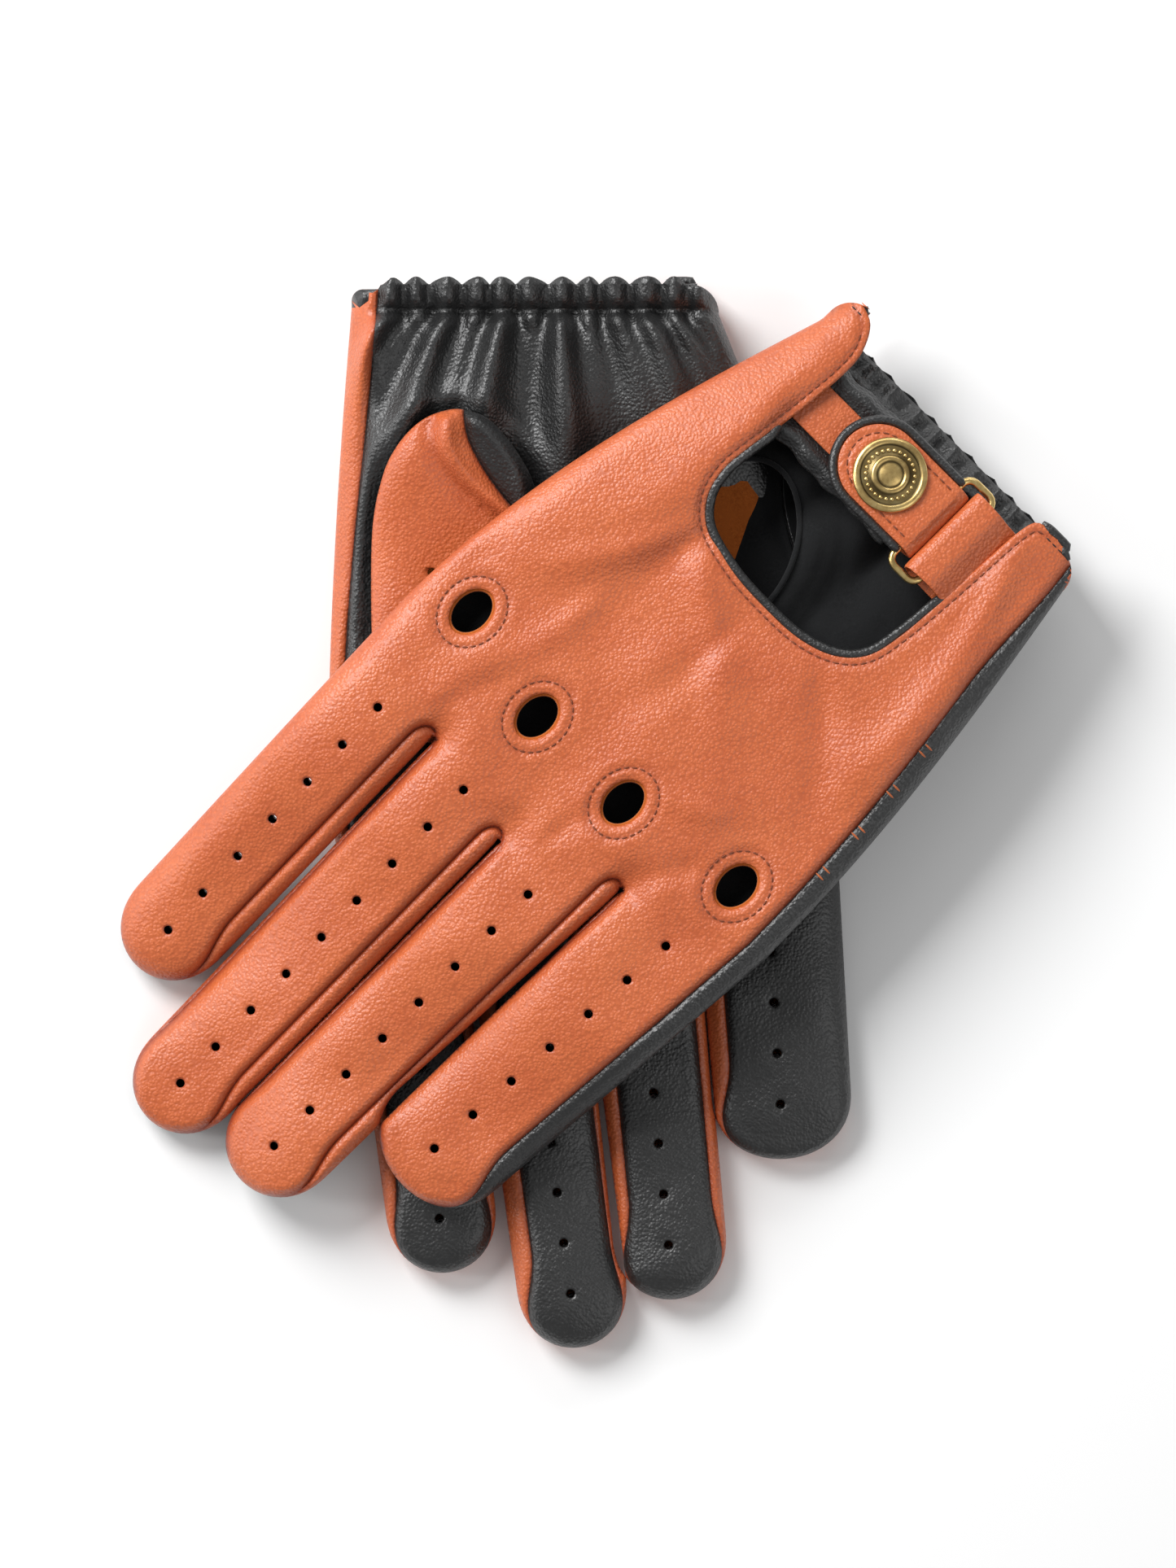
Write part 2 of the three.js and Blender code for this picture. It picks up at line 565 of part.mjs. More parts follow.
	// the snap: cap and socket on the tail, stud and post on the base
	const baseTop = baseZ + strap.thin / 2;
	const liningBottom = liningZ - strap.thin / 2;
	const tailTop = tailZ + strap.tailThick / 2;
	const tailBottom = tailZ - strap.tailThick / 2;
	const capLow = tailTop + clear / 2;
	const r = snap.cap;
	const h = snap.capHeight;
	add('snap_cap', turned([
		[0, tailBottom], [snap.stud, tailBottom], [snap.stud, capLow], [r - 0.6, capLow], [r, capLow + 0.5],
		[r - 0.4, capLow + 0.9], [r * 0.6, capLow + h * 0.85], [0, capLow + h],
	], snapX, strap.y, 20), brass);
	const socketLow = baseTop + 1.1;
	add('snap_socket', turned([
		[snap.bore, socketLow], [snap.socket - 0.5, socketLow], [snap.socket, socketLow + 0.5],
		[snap.socket, tailBottom - clear], [snap.bore, tailBottom - clear], [snap.bore, socketLow],
	], snapX, strap.y), brass);
	add('snap_stud', turned([
		[0, baseTop + clear / 2], [snap.flange, baseTop + clear / 2], [snap.flange, baseTop + 0.6],
		[snap.stud - 0.3, baseTop + 0.8], [snap.stud - 0.3, baseTop + 1.2], [snap.stud, baseTop + 1.5],
		[snap.stud - 0.4, tailBottom - clear], [0, tailBottom - clear],
	], snapX, strap.y), brass);
	add('snap_post', turned([
		[0, liningBottom - 0.9], [snap.flange, liningBottom - 0.9], [snap.flange, liningBottom - clear],
		[snap.post, liningBottom - clear], [snap.post, baseTop - 0.1], [0, baseTop - 0.1],
	], snapX, strap.y), brass);
}

// ---------------------------------------------------------------- laying the pair out

const pair = new THREE.Group();

for (const pose of [leftPose, rightPose]) {
	const { meshes } = buildGlove(pose);
	const turn = rad(pose.turn);
	const holder = new THREE.Group();
	holder.rotation.z = turn;
	holder.position.z = thickness / 2;
	if (pose.mirrored) holder.scale.z = -1;
	const lie = (x, y) => {
		if (pose.mirrored) return rightLie(x, y);
		const over = new THREE.Vector2(x, y).rotateAround(new THREE.Vector2(), turn);
		return leftLie(x, y, over.x, over.y);
	};
	// the strap and its metal tilt with the cuff in one piece
	const strapLie = lie(0, strap.y);
	const strapTilt = Math.atan2(lie(0, strap.y + 5) - lie(0, strap.y - 5), 10);
	for (const { name, geometry, material } of meshes) {
		if (/strap|snap/.test(name)) {
			geometry.translate(0, -strap.y, 0).rotateX(strapTilt).translate(0, strap.y, strapLie);
		} else {
			const points = geometry.getAttribute('position');
			for (let i = 0; i < points.count; i++) {
				points.setZ(i, points.getZ(i) + lie(points.getX(i), points.getY(i)));
			}
		}
		geometry.computeVertexNormals();
		const mesh = new THREE.Mesh(geometry, material);
		mesh.name = name;
		holder.add(mesh);
	}
	pair.add(holder);
}

pair.updateMatrixWorld(true);
const box = new THREE.Box3().setFromObject(pair, true);
const centre = box.getCenter(new THREE.Vector3());
for (const holder of pair.children) {
	holder.position.sub(new THREE.Vector3(centre.x, centre.y, box.min.z));
}

export default pair;
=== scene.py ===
# A pair of soft leather driving gloves, tan over black, with a snap strap at the wrist.
# The right glove lies palm up, and the left glove lies across it with its back up.
# Each glove is cut and sewn in its own frame in millimetres: +X towards the thumb side, +Y towards the
# fingertips, +Z out of the back of the hand, with the origin on the knuckle line. It is then laid out.

import math

import bmesh
import bpy
import numpy as np
from mathutils import Matrix, Vector, noise
from mathutils.geometry import delaunay_2d_cdt


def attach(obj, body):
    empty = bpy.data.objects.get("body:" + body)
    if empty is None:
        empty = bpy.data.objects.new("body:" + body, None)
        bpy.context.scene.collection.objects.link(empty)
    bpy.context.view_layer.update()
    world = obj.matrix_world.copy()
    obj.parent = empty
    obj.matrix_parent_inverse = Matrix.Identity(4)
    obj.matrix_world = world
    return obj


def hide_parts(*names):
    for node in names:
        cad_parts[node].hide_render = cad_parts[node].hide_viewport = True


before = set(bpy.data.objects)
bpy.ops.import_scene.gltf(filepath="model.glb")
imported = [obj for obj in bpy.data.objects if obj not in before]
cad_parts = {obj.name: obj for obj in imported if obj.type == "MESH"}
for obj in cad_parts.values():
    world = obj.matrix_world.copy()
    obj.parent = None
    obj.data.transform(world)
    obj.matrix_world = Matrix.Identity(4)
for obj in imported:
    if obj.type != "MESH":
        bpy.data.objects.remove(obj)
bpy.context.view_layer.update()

MM = 0.001

# ------------------------------------------------------------------ sizes of the gloves, in millimetres

HAND_LENGTH = 106            # knuckle line to the cuff, where the hand is CUFF_WIDTH across
CUFF_WIDTH = 77
PALM_END = 107.2             # knuckle line to the gathered edge of the palm
LITTLE_FLAP_END = 108.5      # knuckle line to the end of the back's flap on the little side
CUFF_CORNER = 6.0            # rounding of the cuff's corner on the little side
STALLS = {                   # width at the knuckle line, reach of the tip, drop of the knuckle hole
    "index": (25.0, 100.0, 8.5),
    "middle": (25.0, 119.5, 2.5),
    "ring": (25.8, 112.5, 2.5),
    "little": (31.6, 86.0, 7.0),
}
ORDER = ["index", "middle", "ring", "little"]
STALL_GAP = 0.6
STALL_TAPER = 0.06           # share of its width that a stall loses on the way to its tip
TIP_ROUND = 14.0             # length of a stall's rounded end
CROTCH = [18.6, 22.1, 8.9]   # knuckle line to the webs, from the index finger's side
HALF_THICK = 5.0             # of the empty glove
EDGE_ROLL = 12.0             # how far in from its edge the empty glove is rounded
ROLL_POWER = 2.4             # 2 would round the edge as a circle does; more is fuller
CUFF_SAG = 3.5               # how much deeper the palm hangs at the cuff
LEATHER = 1.0
THUMB_LEATHER = 0.9
LINING = 0.55                # the facings behind the knuckle holes
BACK_SEAM = {"thumb": 0.8, "little": 4.0}     # from a stall's edge to its fourchette's seams
PALM_SEAM = {"thumb": 4.3, "little": 2.4}
SIDE_SEAM = 4.85             # from the little side's edge to the seam on the back
KNUCKLE_HOLE = (4.2, 5.6)    # radius across the hand and along it
KNUCKLE_SEWN = 2.7           # from the hole's edge to its stitches
PERFORATION = 0.95           # radius
PITCH = 11.0                 # between perforations
BACK_DOTS = {"end": 10.5, "index": 10, "middle": 15, "ring": 16, "little": 6}
PALM_DOTS = {"end": 12.0, "index": 20, "middle": 24, "ring": 24, "little": 14}
OPENING_SEWN = 1.75          # from the wrist opening's edge to its stitches
SPACING = 1.5                # of the leather's own points
THREAD = {"bold": 0.23, "fine": 0.18}         # radius

STRAP_Y = -91.3
STRAP = {                    # half width and thickness of each layer
    "base": (5.25, 0.95),
    "lining": (10.75, 0.95),
    "tail": (9.1, 1.5),
    "keeper": (11.2, 0.9),
}
RING = {"wire": 0.85, "width": 7.9, "length": 25.3, "corner": 2.2, "x": -11.3, "z": 3.85}
RING_PLAY = 0.3              # between the wire and the leather round it
SNAP_X = 1.0                 # the snap's axis, from the middle of the wrist opening

# where the pair lies: the centre of its box, and the height of the right glove's middle
LAID = (-2.351373, 2.526623, 4.989428)

# turn, lean and thumb_lean are in degrees; the shifts move the hand's middle at the cuff and the knuckles;
# skew is how much further each stall reaches for each millimetre towards the thumb
GLOVES = {
    "left": dict(
        mirrored=False, turn=135, cuff_shift=-3.5, knuckle_shift=1.3, skew=-0.08,
        lean={"index": -1.4, "middle": -0.9, "ring": 0.3, "little": 3.7},
        thumb_base=(24, -79), thumb_lean=-23, thumb_flap_end=114.5, flap_corner=6.0,
    ),
    "right": dict(
        mirrored=True, turn=180, cuff_shift=12.2, knuckle_shift=1.5, skew=0.13,
        lean={"index": -7.3, "middle": -7.6, "ring": -5.6, "little": -3.8},
        thumb_base=(31, -80), thumb_lean=0, thumb_flap_end=106.4, flap_corner=2.5,
    ),
}


def smooth(v, low, high):
    t = np.clip((v - low) / (high - low), 0, 1)
    return t * t * (3 - 2 * t)


def bell(v, width):
    return np.exp(-((v / width) ** 2))


# ------------------------------------------------------------------ how the pair lies


def left_lie(x, y):
    """How high the left glove's middle is, over the right glove and its thumb."""
    turn = math.radians(GLOVES["left"]["turn"])
    table_x = x * math.cos(turn) - y * math.sin(turn)
    table_y = x * math.sin(turn) + y * math.cos(turn)
    hand = 21 * (1 - smooth(y, 22, 98)) - 8 * (1 - smooth(y, -135, -55))
    beyond = np.hypot(table_x, np.maximum(0, table_y - 40))
    over = 11.4 * (1 - smooth(beyond, 47, 92))
    return (np.maximum(0, hand) ** 6 + over**6) ** (1 / 6)


def right_lie(x, y):
    """How far the right glove's middle sinks towards its cuff."""
    return -3.9 * (1 - smooth(y, -79, -42)) + 0 * x


def sag(y):
    """How much deeper the palm hangs towards the cuff."""
    return CUFF_SAG * (1 - smooth(y, -HAND_LENGTH, -45))


# ------------------------------------------------------------------ lines and flat pieces


def dense(points, step, closed=False):
    """A smooth line through some points, as points about a step apart."""
    pts = np.asarray(points, float)
    n = len(pts)
    out = []
    for i in range(n if closed else n - 1):
        p1, p2 = pts[i], pts[(i + 1) % n]
        p0 = pts[(i - 1) % n] if closed or i > 0 else 2 * p1 - p2
        p3 = pts[(i + 2) % n] if closed or i + 2 < n else 2 * p2 - p1
        k = max(1, int(round(np.linalg.norm(p2 - p1) / step)))
        for t in np.arange(k) / k:
            out.append(
                0.5 * (2 * p1 + (p2 - p0) * t + (2 * p0 - 5 * p1 + 4 * p2 - p3) * t * t
                       + (3 * p1 - p0 - 3 * p2 + p3) * t**3)
            )
    if not closed:
        out.append(pts[-1])
    return np.array(out)


def even(line, step, closed=False):
    """The same line with its points evenly spaced."""
    pts = np.vstack([line, line[:1]]) if closed else np.asarray(line, float)
    runs = np.concatenate([[0], np.cumsum(np.linalg.norm(np.diff(pts, axis=0), axis=1))])
    count = max(2, int(round(runs[-1] / step)) + 1)
    at = np.linspace(0, runs[-1], count)
    out = np.stack([np.interp(at, runs, pts[:, i]) for i in range(pts.shape[1])], axis=1)
    return out[:-1] if closed else out


def across(line):
    """Unit vectors to the left of a line's direction of travel."""
    run = np.gradient(line, axis=0)
    run /= np.maximum(1e-9, np.linalg.norm(run, axis=1))[:, None]
    return np.stack([-run[:, 1], run[:, 0]], axis=1)


def distance(points, line, closed=False):
    """How far each point is from a line."""
    line = np.asarray(line, np.float32)
    a = line if closed else line[:-1]
    b = np.roll(line, -1, axis=0) if closed else line[1:]
    run = b - a
    length2 = np.maximum(1e-9, (run**2).sum(1))
    out = np.empty(len(points), np.float32)
    for i in range(0, len(points), 4000):
        p = np.asarray(points[i:i + 4000], np.float32)
        dx, dy = p[:, None, 0] - a[:, 0], p[:, None, 1] - a[:, 1]
        t = np.clip((dx * run[:, 0] + dy * run[:, 1]) / length2, 0, 1)
        out[i:i + 4000] = np.sqrt(((dx - t * run[:, 0]) ** 2 + (dy - t * run[:, 1]) ** 2).min(1))
    return out


def inside(points, loop):
    """Which points a closed line goes round."""
    loop = np.asarray(loop, float)
    a, b = loop, np.roll(loop, -1, axis=0)
    out = np.empty(len(points), bool)
    for i in range(0, len(points), 4000):
        p = points[i:i + 4000]
        over = (a[:, 1] > p[:, None, 1]) != (b[:, 1] > p[:, None, 1])
        slope = (b[:, 0] - a[:, 0]) / np.where(b[:, 1] == a[:, 1], 1e-12, b[:, 1] - a[:, 1])
        hit = over & (p[:, None, 0] < a[:, 0] + slope * (p[:, None, 1] - a[:, 1]))
        out[i:i + 4000] = hit.sum(1) % 2 == 1
    return out


def evened(values, reach):
    """Values along a line, each taken as the mean of those about it."""
    padded = np.concatenate([np.full(reach, values[0]), values, np.full(reach, values[-1])])
    return np.convolve(padded, np.full(2 * reach + 1, 1 / (2 * reach + 1)), "valid")


def nearest(line, place):
    """The number of the point of a line that is nearest to a place."""
    return int(np.argmin(np.hypot(*(line - place).T)))


def oval(x, y, radius_x, radius_y, count):
    """Points round an oval, a circle where both radii are the same."""
    angle = np.arange(count) * 2 * math.pi / count
    return np.stack([x + radius_x * np.cos(angle), y + radius_y * np.sin(angle)], axis=1)


def cut_sheet(outline, folded_edge, seams, holes, rows):
    """A flat piece of leather as points and triangles: points crowd along its rolled edge and its seams.
    rows are (line, closed, distances): extra points that far to both sides of a line."""
    crowd = (0.12, 0.45, 1.0, 1.8, 2.8, 4.0)
    points, edges = [], []

    def draw(line, closed):
        start = len(points)
        points.extend(line)
        n = len(line)
        edges.extend((start + i, start + (i + 1) % n) for i in range(n if closed else n - 1))

    draw(outline, True)
    for line in seams:
        draw(line, False)
    for loop in holes:
        draw(loop, True)
    fixed = [(line, False) for line in seams] + [(loop, True) for loop in holes]

    loose = []
    for offset in crowd:
        line = even(folded_edge, max(0.9, min(SPACING, offset * 1.2)))
        side = across(line)
        for sign in (1, -1):
            beside = line + side * offset * sign
            beside = beside[inside(beside, outline)]
            loose.append(beside[distance(beside, folded_edge) > offset * 0.93])
    for line, closed, offsets in rows:
        spread = even(line, 0.9, closed)
        side = across(np.vstack([spread[-1:], spread, spread[:1]]))[1:-1] if closed else across(spread)
        for offset in offsets:
            for sign in (1, -1):
                loose.append(spread + side * offset * sign)
    low, high = outline.min(0), outline.max(0)
    xs, ys = np.arange(low[0], high[0], SPACING), np.arange(low[1], high[1], SPACING * 0.866)
    grid = np.array([(x + (j % 2) * SPACING / 2, y) for j, y in enumerate(ys) for x in xs])
    grid = grid[inside(grid, outline)]
    grid = grid[distance(grid, folded_edge) > crowd[-1] + SPACING * 0.6]
    for line, closed, offsets in rows:
        grid = grid[distance(grid, line, closed) > max(offsets) + SPACING * 0.45]
    loose.append(grid)

    kept = np.zeros((0, 2))
    for batch in loose:
        if not len(batch):
            continue
        batch = batch[inside(batch, outline)]
        for line, closed in fixed:
            batch = batch[distance(batch, line, closed) > 0.3]
        batch = batch[distance(batch, outline, True) > 0.1]
        for loop in holes:
            batch = batch[~inside(batch, loop)]
        kept = np.vstack([kept, batch])
    # one loose point at most in each square of about a third of a millimetre
    cell = np.round(kept / 0.35).astype(int)
    kept = kept[np.unique(cell, axis=0, return_index=True)[1]]

    flat = [Vector((float(p[0]), float(p[1]))) for p in [*points, *kept]]
    verts, _, faces, *_ = delaunay_2d_cdt(flat, edges, [], 0, 1e-4)
    verts = np.array([tuple(v) for v in verts])
    faces = np.array([f for f in faces if len(f) == 3])
    middle = verts[faces].mean(1)
    solid = inside(middle, outline)
    for loop in holes:
        solid &= ~inside(middle, loop)
    faces = faces[solid]
    a, b, c = verts[faces[:, 0]], verts[faces[:, 1]], verts[faces[:, 2]]
    turn = (b[:, 0] - a[:, 0]) * (c[:, 1] - a[:, 1]) - (b[:, 1] - a[:, 1]) * (c[:, 0] - a[:, 0])
    faces[turn < 0] = faces[turn < 0][:, ::-1]
    return verts, faces[np.abs(turn) > 1e-7]


# ------------------------------------------------------------------ materials


class Finish:
    """A leather, thread or metal, drawn with nodes on the piece's own place in space."""

    def __init__(self, name):
        self.material = bpy.data.materials.new(name)
        self.material.use_nodes = True
        self.nodes = self.material.node_tree.nodes
        self.links = self.material.node_tree.links
        self.shader = self.nodes["Principled BSDF"]
        self.place = self.nodes.new("ShaderNodeTexCoord").outputs["Object"]

    def set(self, **values):
        for key, value in values.items():
            self.shader.inputs[key.replace("_", " ")].default_value = value
        return self

    def noise(self, scale, detail=3.0, roughness=0.55, distortion=0.0):
        node = self.nodes.new("ShaderNodeTexNoise")
        node.inputs["Scale"].default_value = scale
        node.inputs["Detail"].default_value = detail
        node.inputs["Roughness"].default_value = roughness
        node.inputs["Distortion"].default_value = distortion
        self.links.new(self.place, node.inputs["Vector"])
        return node.outputs["Fac"]

    def cells(self, scale):
        """Rounded cells, pushed a little out of place so that no two are alike."""
        node = self.nodes.new("ShaderNodeTexVoronoi")
        node.feature = "SMOOTH_F1"
        node.inputs["Scale"].default_value = scale
        node.inputs["Smoothness"].default_value = 0.35
        warp = self.nodes.new("ShaderNodeVectorMath")
        warp.operation = "ADD"
        drift = self.nodes.new("ShaderNodeTexNoise")
        drift.inputs["Scale"].default_value = scale * 0.7
        self.links.new(self.place, drift.inputs["Vector"])
        shrink = self.nodes.new("ShaderNodeVectorMath")
        shrink.operation = "SCALE"
        shrink.inputs["Scale"].default_value = 0.7 / scale
        self.links.new(drift.outputs["Color"], shrink.inputs[0])
        self.links.new(self.place, warp.inputs[0])
        self.links.new(shrink.outputs[0], warp.inputs[1])
        self.links.new(warp.outputs[0], node.inputs["Vector"])
        return node.outputs["Distance"]

    def attribute(self, name):
        node = self.nodes.new("ShaderNodeAttribute")
        node.attribute_name = name
        return node.outputs["Fac"]

    def ramp(self, fac, stops):
        node = self.nodes.new("ShaderNodeValToRGB")
        elements = node.color_ramp.elements
        while len(elements) < len(stops):
            elements.new(0.5)
        for element, (at, colour) in zip(elements, stops):
            element.position = at
            element.color = (*colour, 1) if len(colour) == 3 else colour
        self.links.new(fac, node.inputs["Fac"])
        return node.outputs["Color"]

    def mix(self, fac, a, b, blend="MIX"):
        node = self.nodes.new("ShaderNodeMix")
        node.data_type = "RGBA"
        node.blend_type = blend
        for socket, value in ((node.inputs[0], fac), (node.inputs[6], a), (node.inputs[7], b)):
            if isinstance(value, (int, float)):
                socket.default_value = value
            elif isinstance(value, tuple):
                socket.default_value = (*value, 1)
            else:
                self.links.new(value, socket)
        return node.outputs[2]

    def math(self, operation, a, b=0.0):
        node = self.nodes.new("ShaderNodeMath")
        node.operation = operation
        for socket, value in ((node.inputs[0], a), (node.inputs[1], b)):
            if isinstance(value, (int, float)):
                socket.default_value = value
            else:
                self.links.new(value, socket)
        return node.outputs[0]

    def between(self, fac, low, high):
        node = self.nodes.new("ShaderNodeMapRange")
        node.inputs["To Min"].default_value = low
        node.inputs["To Max"].default_value = high
        self.links.new(fac, node.inputs["Value"])
        return node.outputs["Result"]

    def colour(self, socket):
        self.links.new(socket, self.shader.inputs["Base Color"])
        return self

    def rough(self, socket):
        self.links.new(socket, self.shader.inputs["Roughness"])
        return self

    def relief(self, heights):
        """Bumps, each (height, strength, depth in millimetres), one on another."""
        last = None
        for height, strength, depth in heights:
            node = self.nodes.new("ShaderNodeBump")
            node.inputs["Strength"].default_value = strength
            node.inputs["Distance"].default_value = depth * MM
            self.links.new(height, node.inputs["Height"])
            if last is not None:
                self.links.new(last, node.inputs["Normal"])
            last = node.outputs["Normal"]
        self.links.new(last, self.shader.inputs["Normal"])
        return self


def glove_leather(name, pale, mid, deep, crease, roughness, gloss, grain_depth):
    """Nappa: a pebbled grain of about two thirds of a millimetre, softly mottled, with painted shade
    darkening it in its creases.
    """
    f = Finish(name).set(Specular_IOR_Level=gloss, Sheen_Weight=0.03, Sheen_Roughness=0.5)
    cloud = f.noise(55, 4, 0.6)
    blotch = f.ramp(cloud, [(0.3, deep), (0.5, mid), (0.72, pale)])
    grain = f.cells(1450)
    fleck = f.ramp(grain, [(0.2, (1.0, 1.0, 1.0)), (0.85, (0.62, 0.5, 0.44))])
    toned = f.mix(0.5, blotch, fleck, "MULTIPLY")
    # painted shade: the leather is mixed towards its darker crease colour where its points are marked as
    # shaded, in seams, stitch lines, gather hollows, round punched holes and at the rolled edge
    f.colour(f.mix(f.attribute("crease"), toned, crease))
    f.rough(f.between(f.noise(420, 3), roughness - 0.07, roughness + 0.08))
    pebble = f.ramp(grain, [(0.1, (1, 1, 1)), (0.75, (0, 0, 0))])
    f.relief([(f.noise(170, 4, 0.6), 0.5, 0.3 * grain_depth), (pebble, 0.75, 0.1 * grain_depth),
              (f.noise(3600, 3), 0.35, 0.04)])
    return f.material


def suede(name, light, dark):
    """The flesh side: a fine nap, brushed one way in some places and the other way in others."""
    f = Finish(name).set(Specular_IOR_Level=0.08, Sheen_Weight=0.08, Sheen_Roughness=0.6)
    nap = f.noise(1500, 6, 0.75, 0.4)
    f.colour(f.mix(f.ramp(f.noise(120, 3), [(0.35, (0, 0, 0)), (0.65, (1, 1, 1))]),
                   f.ramp(nap, [(0.3, dark), (0.7, light)]),
                   f.ramp(nap, [(0.25, light), (0.75, dark)])))
    f.rough(f.between(nap, 0.85, 0.98))
    f.relief([(nap, 0.7, 0.16), (f.noise(500, 4, 0.7), 0.5, 0.3)])
    return f.material


def thread(name, light, dark):
    """Sewing thread with a fine ply."""
    f = Finish(name).set(Specular_IOR_Level=0.3, Sheen_Weight=0.2)
    ply = f.noise(2600, 3, 0.6, 1.5)
    f.colour(f.ramp(ply, [(0.3, dark), (0.7, light)]))
    f.rough(f.between(ply, 0.5, 0.75))
    f.relief([(ply, 0.6, 0.06)])
    return f.material


def antique_brass(name):
    """Aged brass: stained, scuffed, and nearly black in its grooves, partly as patina and partly as painted
    shade.
    """
    f = Finish(name).set(Metallic=1.0)
    stain = f.noise(330, 5, 0.65, 0.6)
    bright = f.ramp(stain, [
        (0.3, (0.5, 0.34, 0.13)), (0.52, (0.74, 0.53, 0.21)), (0.75, (0.9, 0.71, 0.34)),
    ])
    # near black is mixed in as patina and painted shade in the grooves and between the beads, and as painted
    # shade under the cap
    f.colour(f.mix(f.attribute("crease"), bright, (0.035, 0.026, 0.014)))
    f.rough(f.between(f.noise(900, 4, 0.7), 0.2, 0.42))
    f.relief([(f.noise(700, 4, 0.6), 0.25, 0.05)])
    return f.material


def woven_elastic(name):
    """Black elastic webbing with slanting ribs."""
    f = Finish(name).set(Specular_IOR_Level=0.2, Sheen_Weight=0.25)
    ribs = f.nodes.new("ShaderNodeTexWave")
    ribs.bands_direction = "DIAGONAL"
    ribs.inputs["Scale"].default_value = 420
    ribs.inputs["Distortion"].default_value = 1.5
    f.links.new(f.place, ribs.inputs["Vector"])
    f.colour(f.ramp(ribs.outputs["Fac"], [(0.2, (0.008, 0.008, 0.009)), (0.8, (0.03, 0.03, 0.032))]))
    f.rough(f.between(f.noise(1800, 3), 0.8, 0.95))
    f.relief([(ribs.outputs["Fac"], 0.7, 0.12)])
    return f.material


# the fourth colour of each nappa is its painted shade, mixed in at creases, seams and edges
tan_leather = glove_leather("tan_nappa", (0.63, 0.146, 0.04), (0.6, 0.13, 0.033), (0.56, 0.112, 0.027),
                            (0.29, 0.038, 0.007), 0.42, 0.7, 1.45)
black_leather = glove_leather("black_nappa", (0.0058, 0.006, 0.0064), (0.0045, 0.0047, 0.005),
                              (0.0034, 0.0036, 0.004), (0.0015, 0.0015, 0.0016), 0.43, 0.9, 1.3)
orange_suede = suede("orange_suede", (0.62, 0.165, 0.028), (0.36, 0.075, 0.01))
black_suede = suede("black_suede", (0.017, 0.0175, 0.0185), (0.006, 0.0063, 0.0067))
rust_thread = thread("rust_thread", (0.3, 0.075, 0.025), (0.13, 0.028, 0.01))
tan_thread = thread("tan_thread", (0.62, 0.17, 0.05), (0.4, 0.09, 0.025))
black_thread = thread("black_thread", (0.02, 0.02, 0.021), (0.007, 0.007, 0.007))
brass = antique_brass("antique_brass")
elastic_cloth = woven_elastic("woven_elastic")


# ------------------------------------------------------------------ making pieces


def finished(name, bm, glove, body, finishes, nodes=(), rigid=False, shade=None):
    """A piece from a mesh drawn in the glove's own frame: laid out, given its finish, and put on its body.
    A rigid piece tilts with the strap; any other takes the glove's lie point by point."""
    if not rigid:
        xy = np.array([(v.co.x, v.co.y) for v in bm.verts])
        lift = glove.lie(xy[:, 0], xy[:, 1])
        for v, rise in zip(bm.verts, lift):
            v.co.z += float(rise)
    else:
        bm.transform(glove.strap_place)
    bm.transform(glove.place)
    if glove.mirrored:
        bmesh.ops.reverse_faces(bm, faces=bm.faces)
    mesh = bpy.data.meshes.new(name)
    bm.to_mesh(mesh)
    bm.free()
    for finish in finishes:
        mesh.materials.append(finish)
    mesh.polygons.foreach_set("use_smooth", [True] * len(mesh.polygons))
    # each point's painted shade, carried in from the leather's sheets or given here for the snap's cap, for
    # the finishes to darken by
    layer = mesh.attributes.get("crease") or mesh.attributes.new("crease", "FLOAT", "POINT")
    if shade is not None:
        layer.data.foreach_set("value", np.asarray(shade, np.float32))
    piece = bpy.data.objects.new(name, mesh)
    bpy.context.scene.collection.objects.link(piece)
    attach(piece, f"{glove.name}_{body}")
    if nodes:
        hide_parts(*nodes)
    return piece


def thicken(piece, thickness, inner=0, rim=0):
    """Gives a sheet its thickness, inwards, with other finishes on the flesh side and the cut edge."""
    wall = piece.modifiers.new("leather_thickness", "SOLIDIFY")
    wall.thickness = thickness * MM
    wall.offset = -1
    wall.material_offset = inner
    wall.material_offset_rim = rim
    return piece


def skin(around, along, place, close_ends=True):
    """A skin whose points are where place(turn, way) says, both from 0 to 1. Its ends are closed flat, unless
    it joins up with itself or stays open."""
    bm = bmesh.new()
    bmesh.ops.create_grid(bm, x_segments=around, y_segments=along, size=0.5)
    for v in bm.verts:
        v.co = Vector(place(v.co.x + 0.5, v.co.y + 0.5))
    bmesh.ops.remove_doubles(bm, verts=bm.verts, dist=1e-4)
    if close_ends:
        bmesh.ops.holes_fill(bm, edges=bm.edges, sides=0)
    bmesh.ops.recalc_face_normals(bm, faces=bm.faces)
    return bm


def tube(line, radius, around=10, flat=1.0, taper=0.0):
    """A round cord of leather along a line in space. flat squashes it in height, and taper is how many points
    it takes to come to its full size at each end."""
    pts = np.asarray(line, float)
    run = np.gradient(pts, axis=0)
    run /= np.maximum(1e-9, np.linalg.norm(run, axis=1))[:, None]
    side = np.cross(run, (0, 0, 1.0))
    side /= np.maximum(1e-9, np.linalg.norm(side, axis=1))[:, None]
    up = np.cross(side, run)
    n = len(pts) - 1

    def place(turn, way):
        i = int(round(way * n))
        end = min(i, n - i)
        swell = 1.0
        if taper > 0 and end <= taper:
            swell = 0.25 + 0.75 * math.sin(math.pi / 2 * (end + 0.35) / (taper + 0.35))
        r = radius * swell
        a = turn * 2 * math.pi
        return pts[i] + side[i] * r * math.cos(a) + up[i] * r * flat * math.sin(a)

    return skin(around, n, place)


def rounded_power(value, power):
    """A sine or cosine raised to a power below 1 with its sign kept, which squares a circle off."""
    return math.copysign(abs(value) ** power, value) if abs(value) > 1e-9 else 0.0


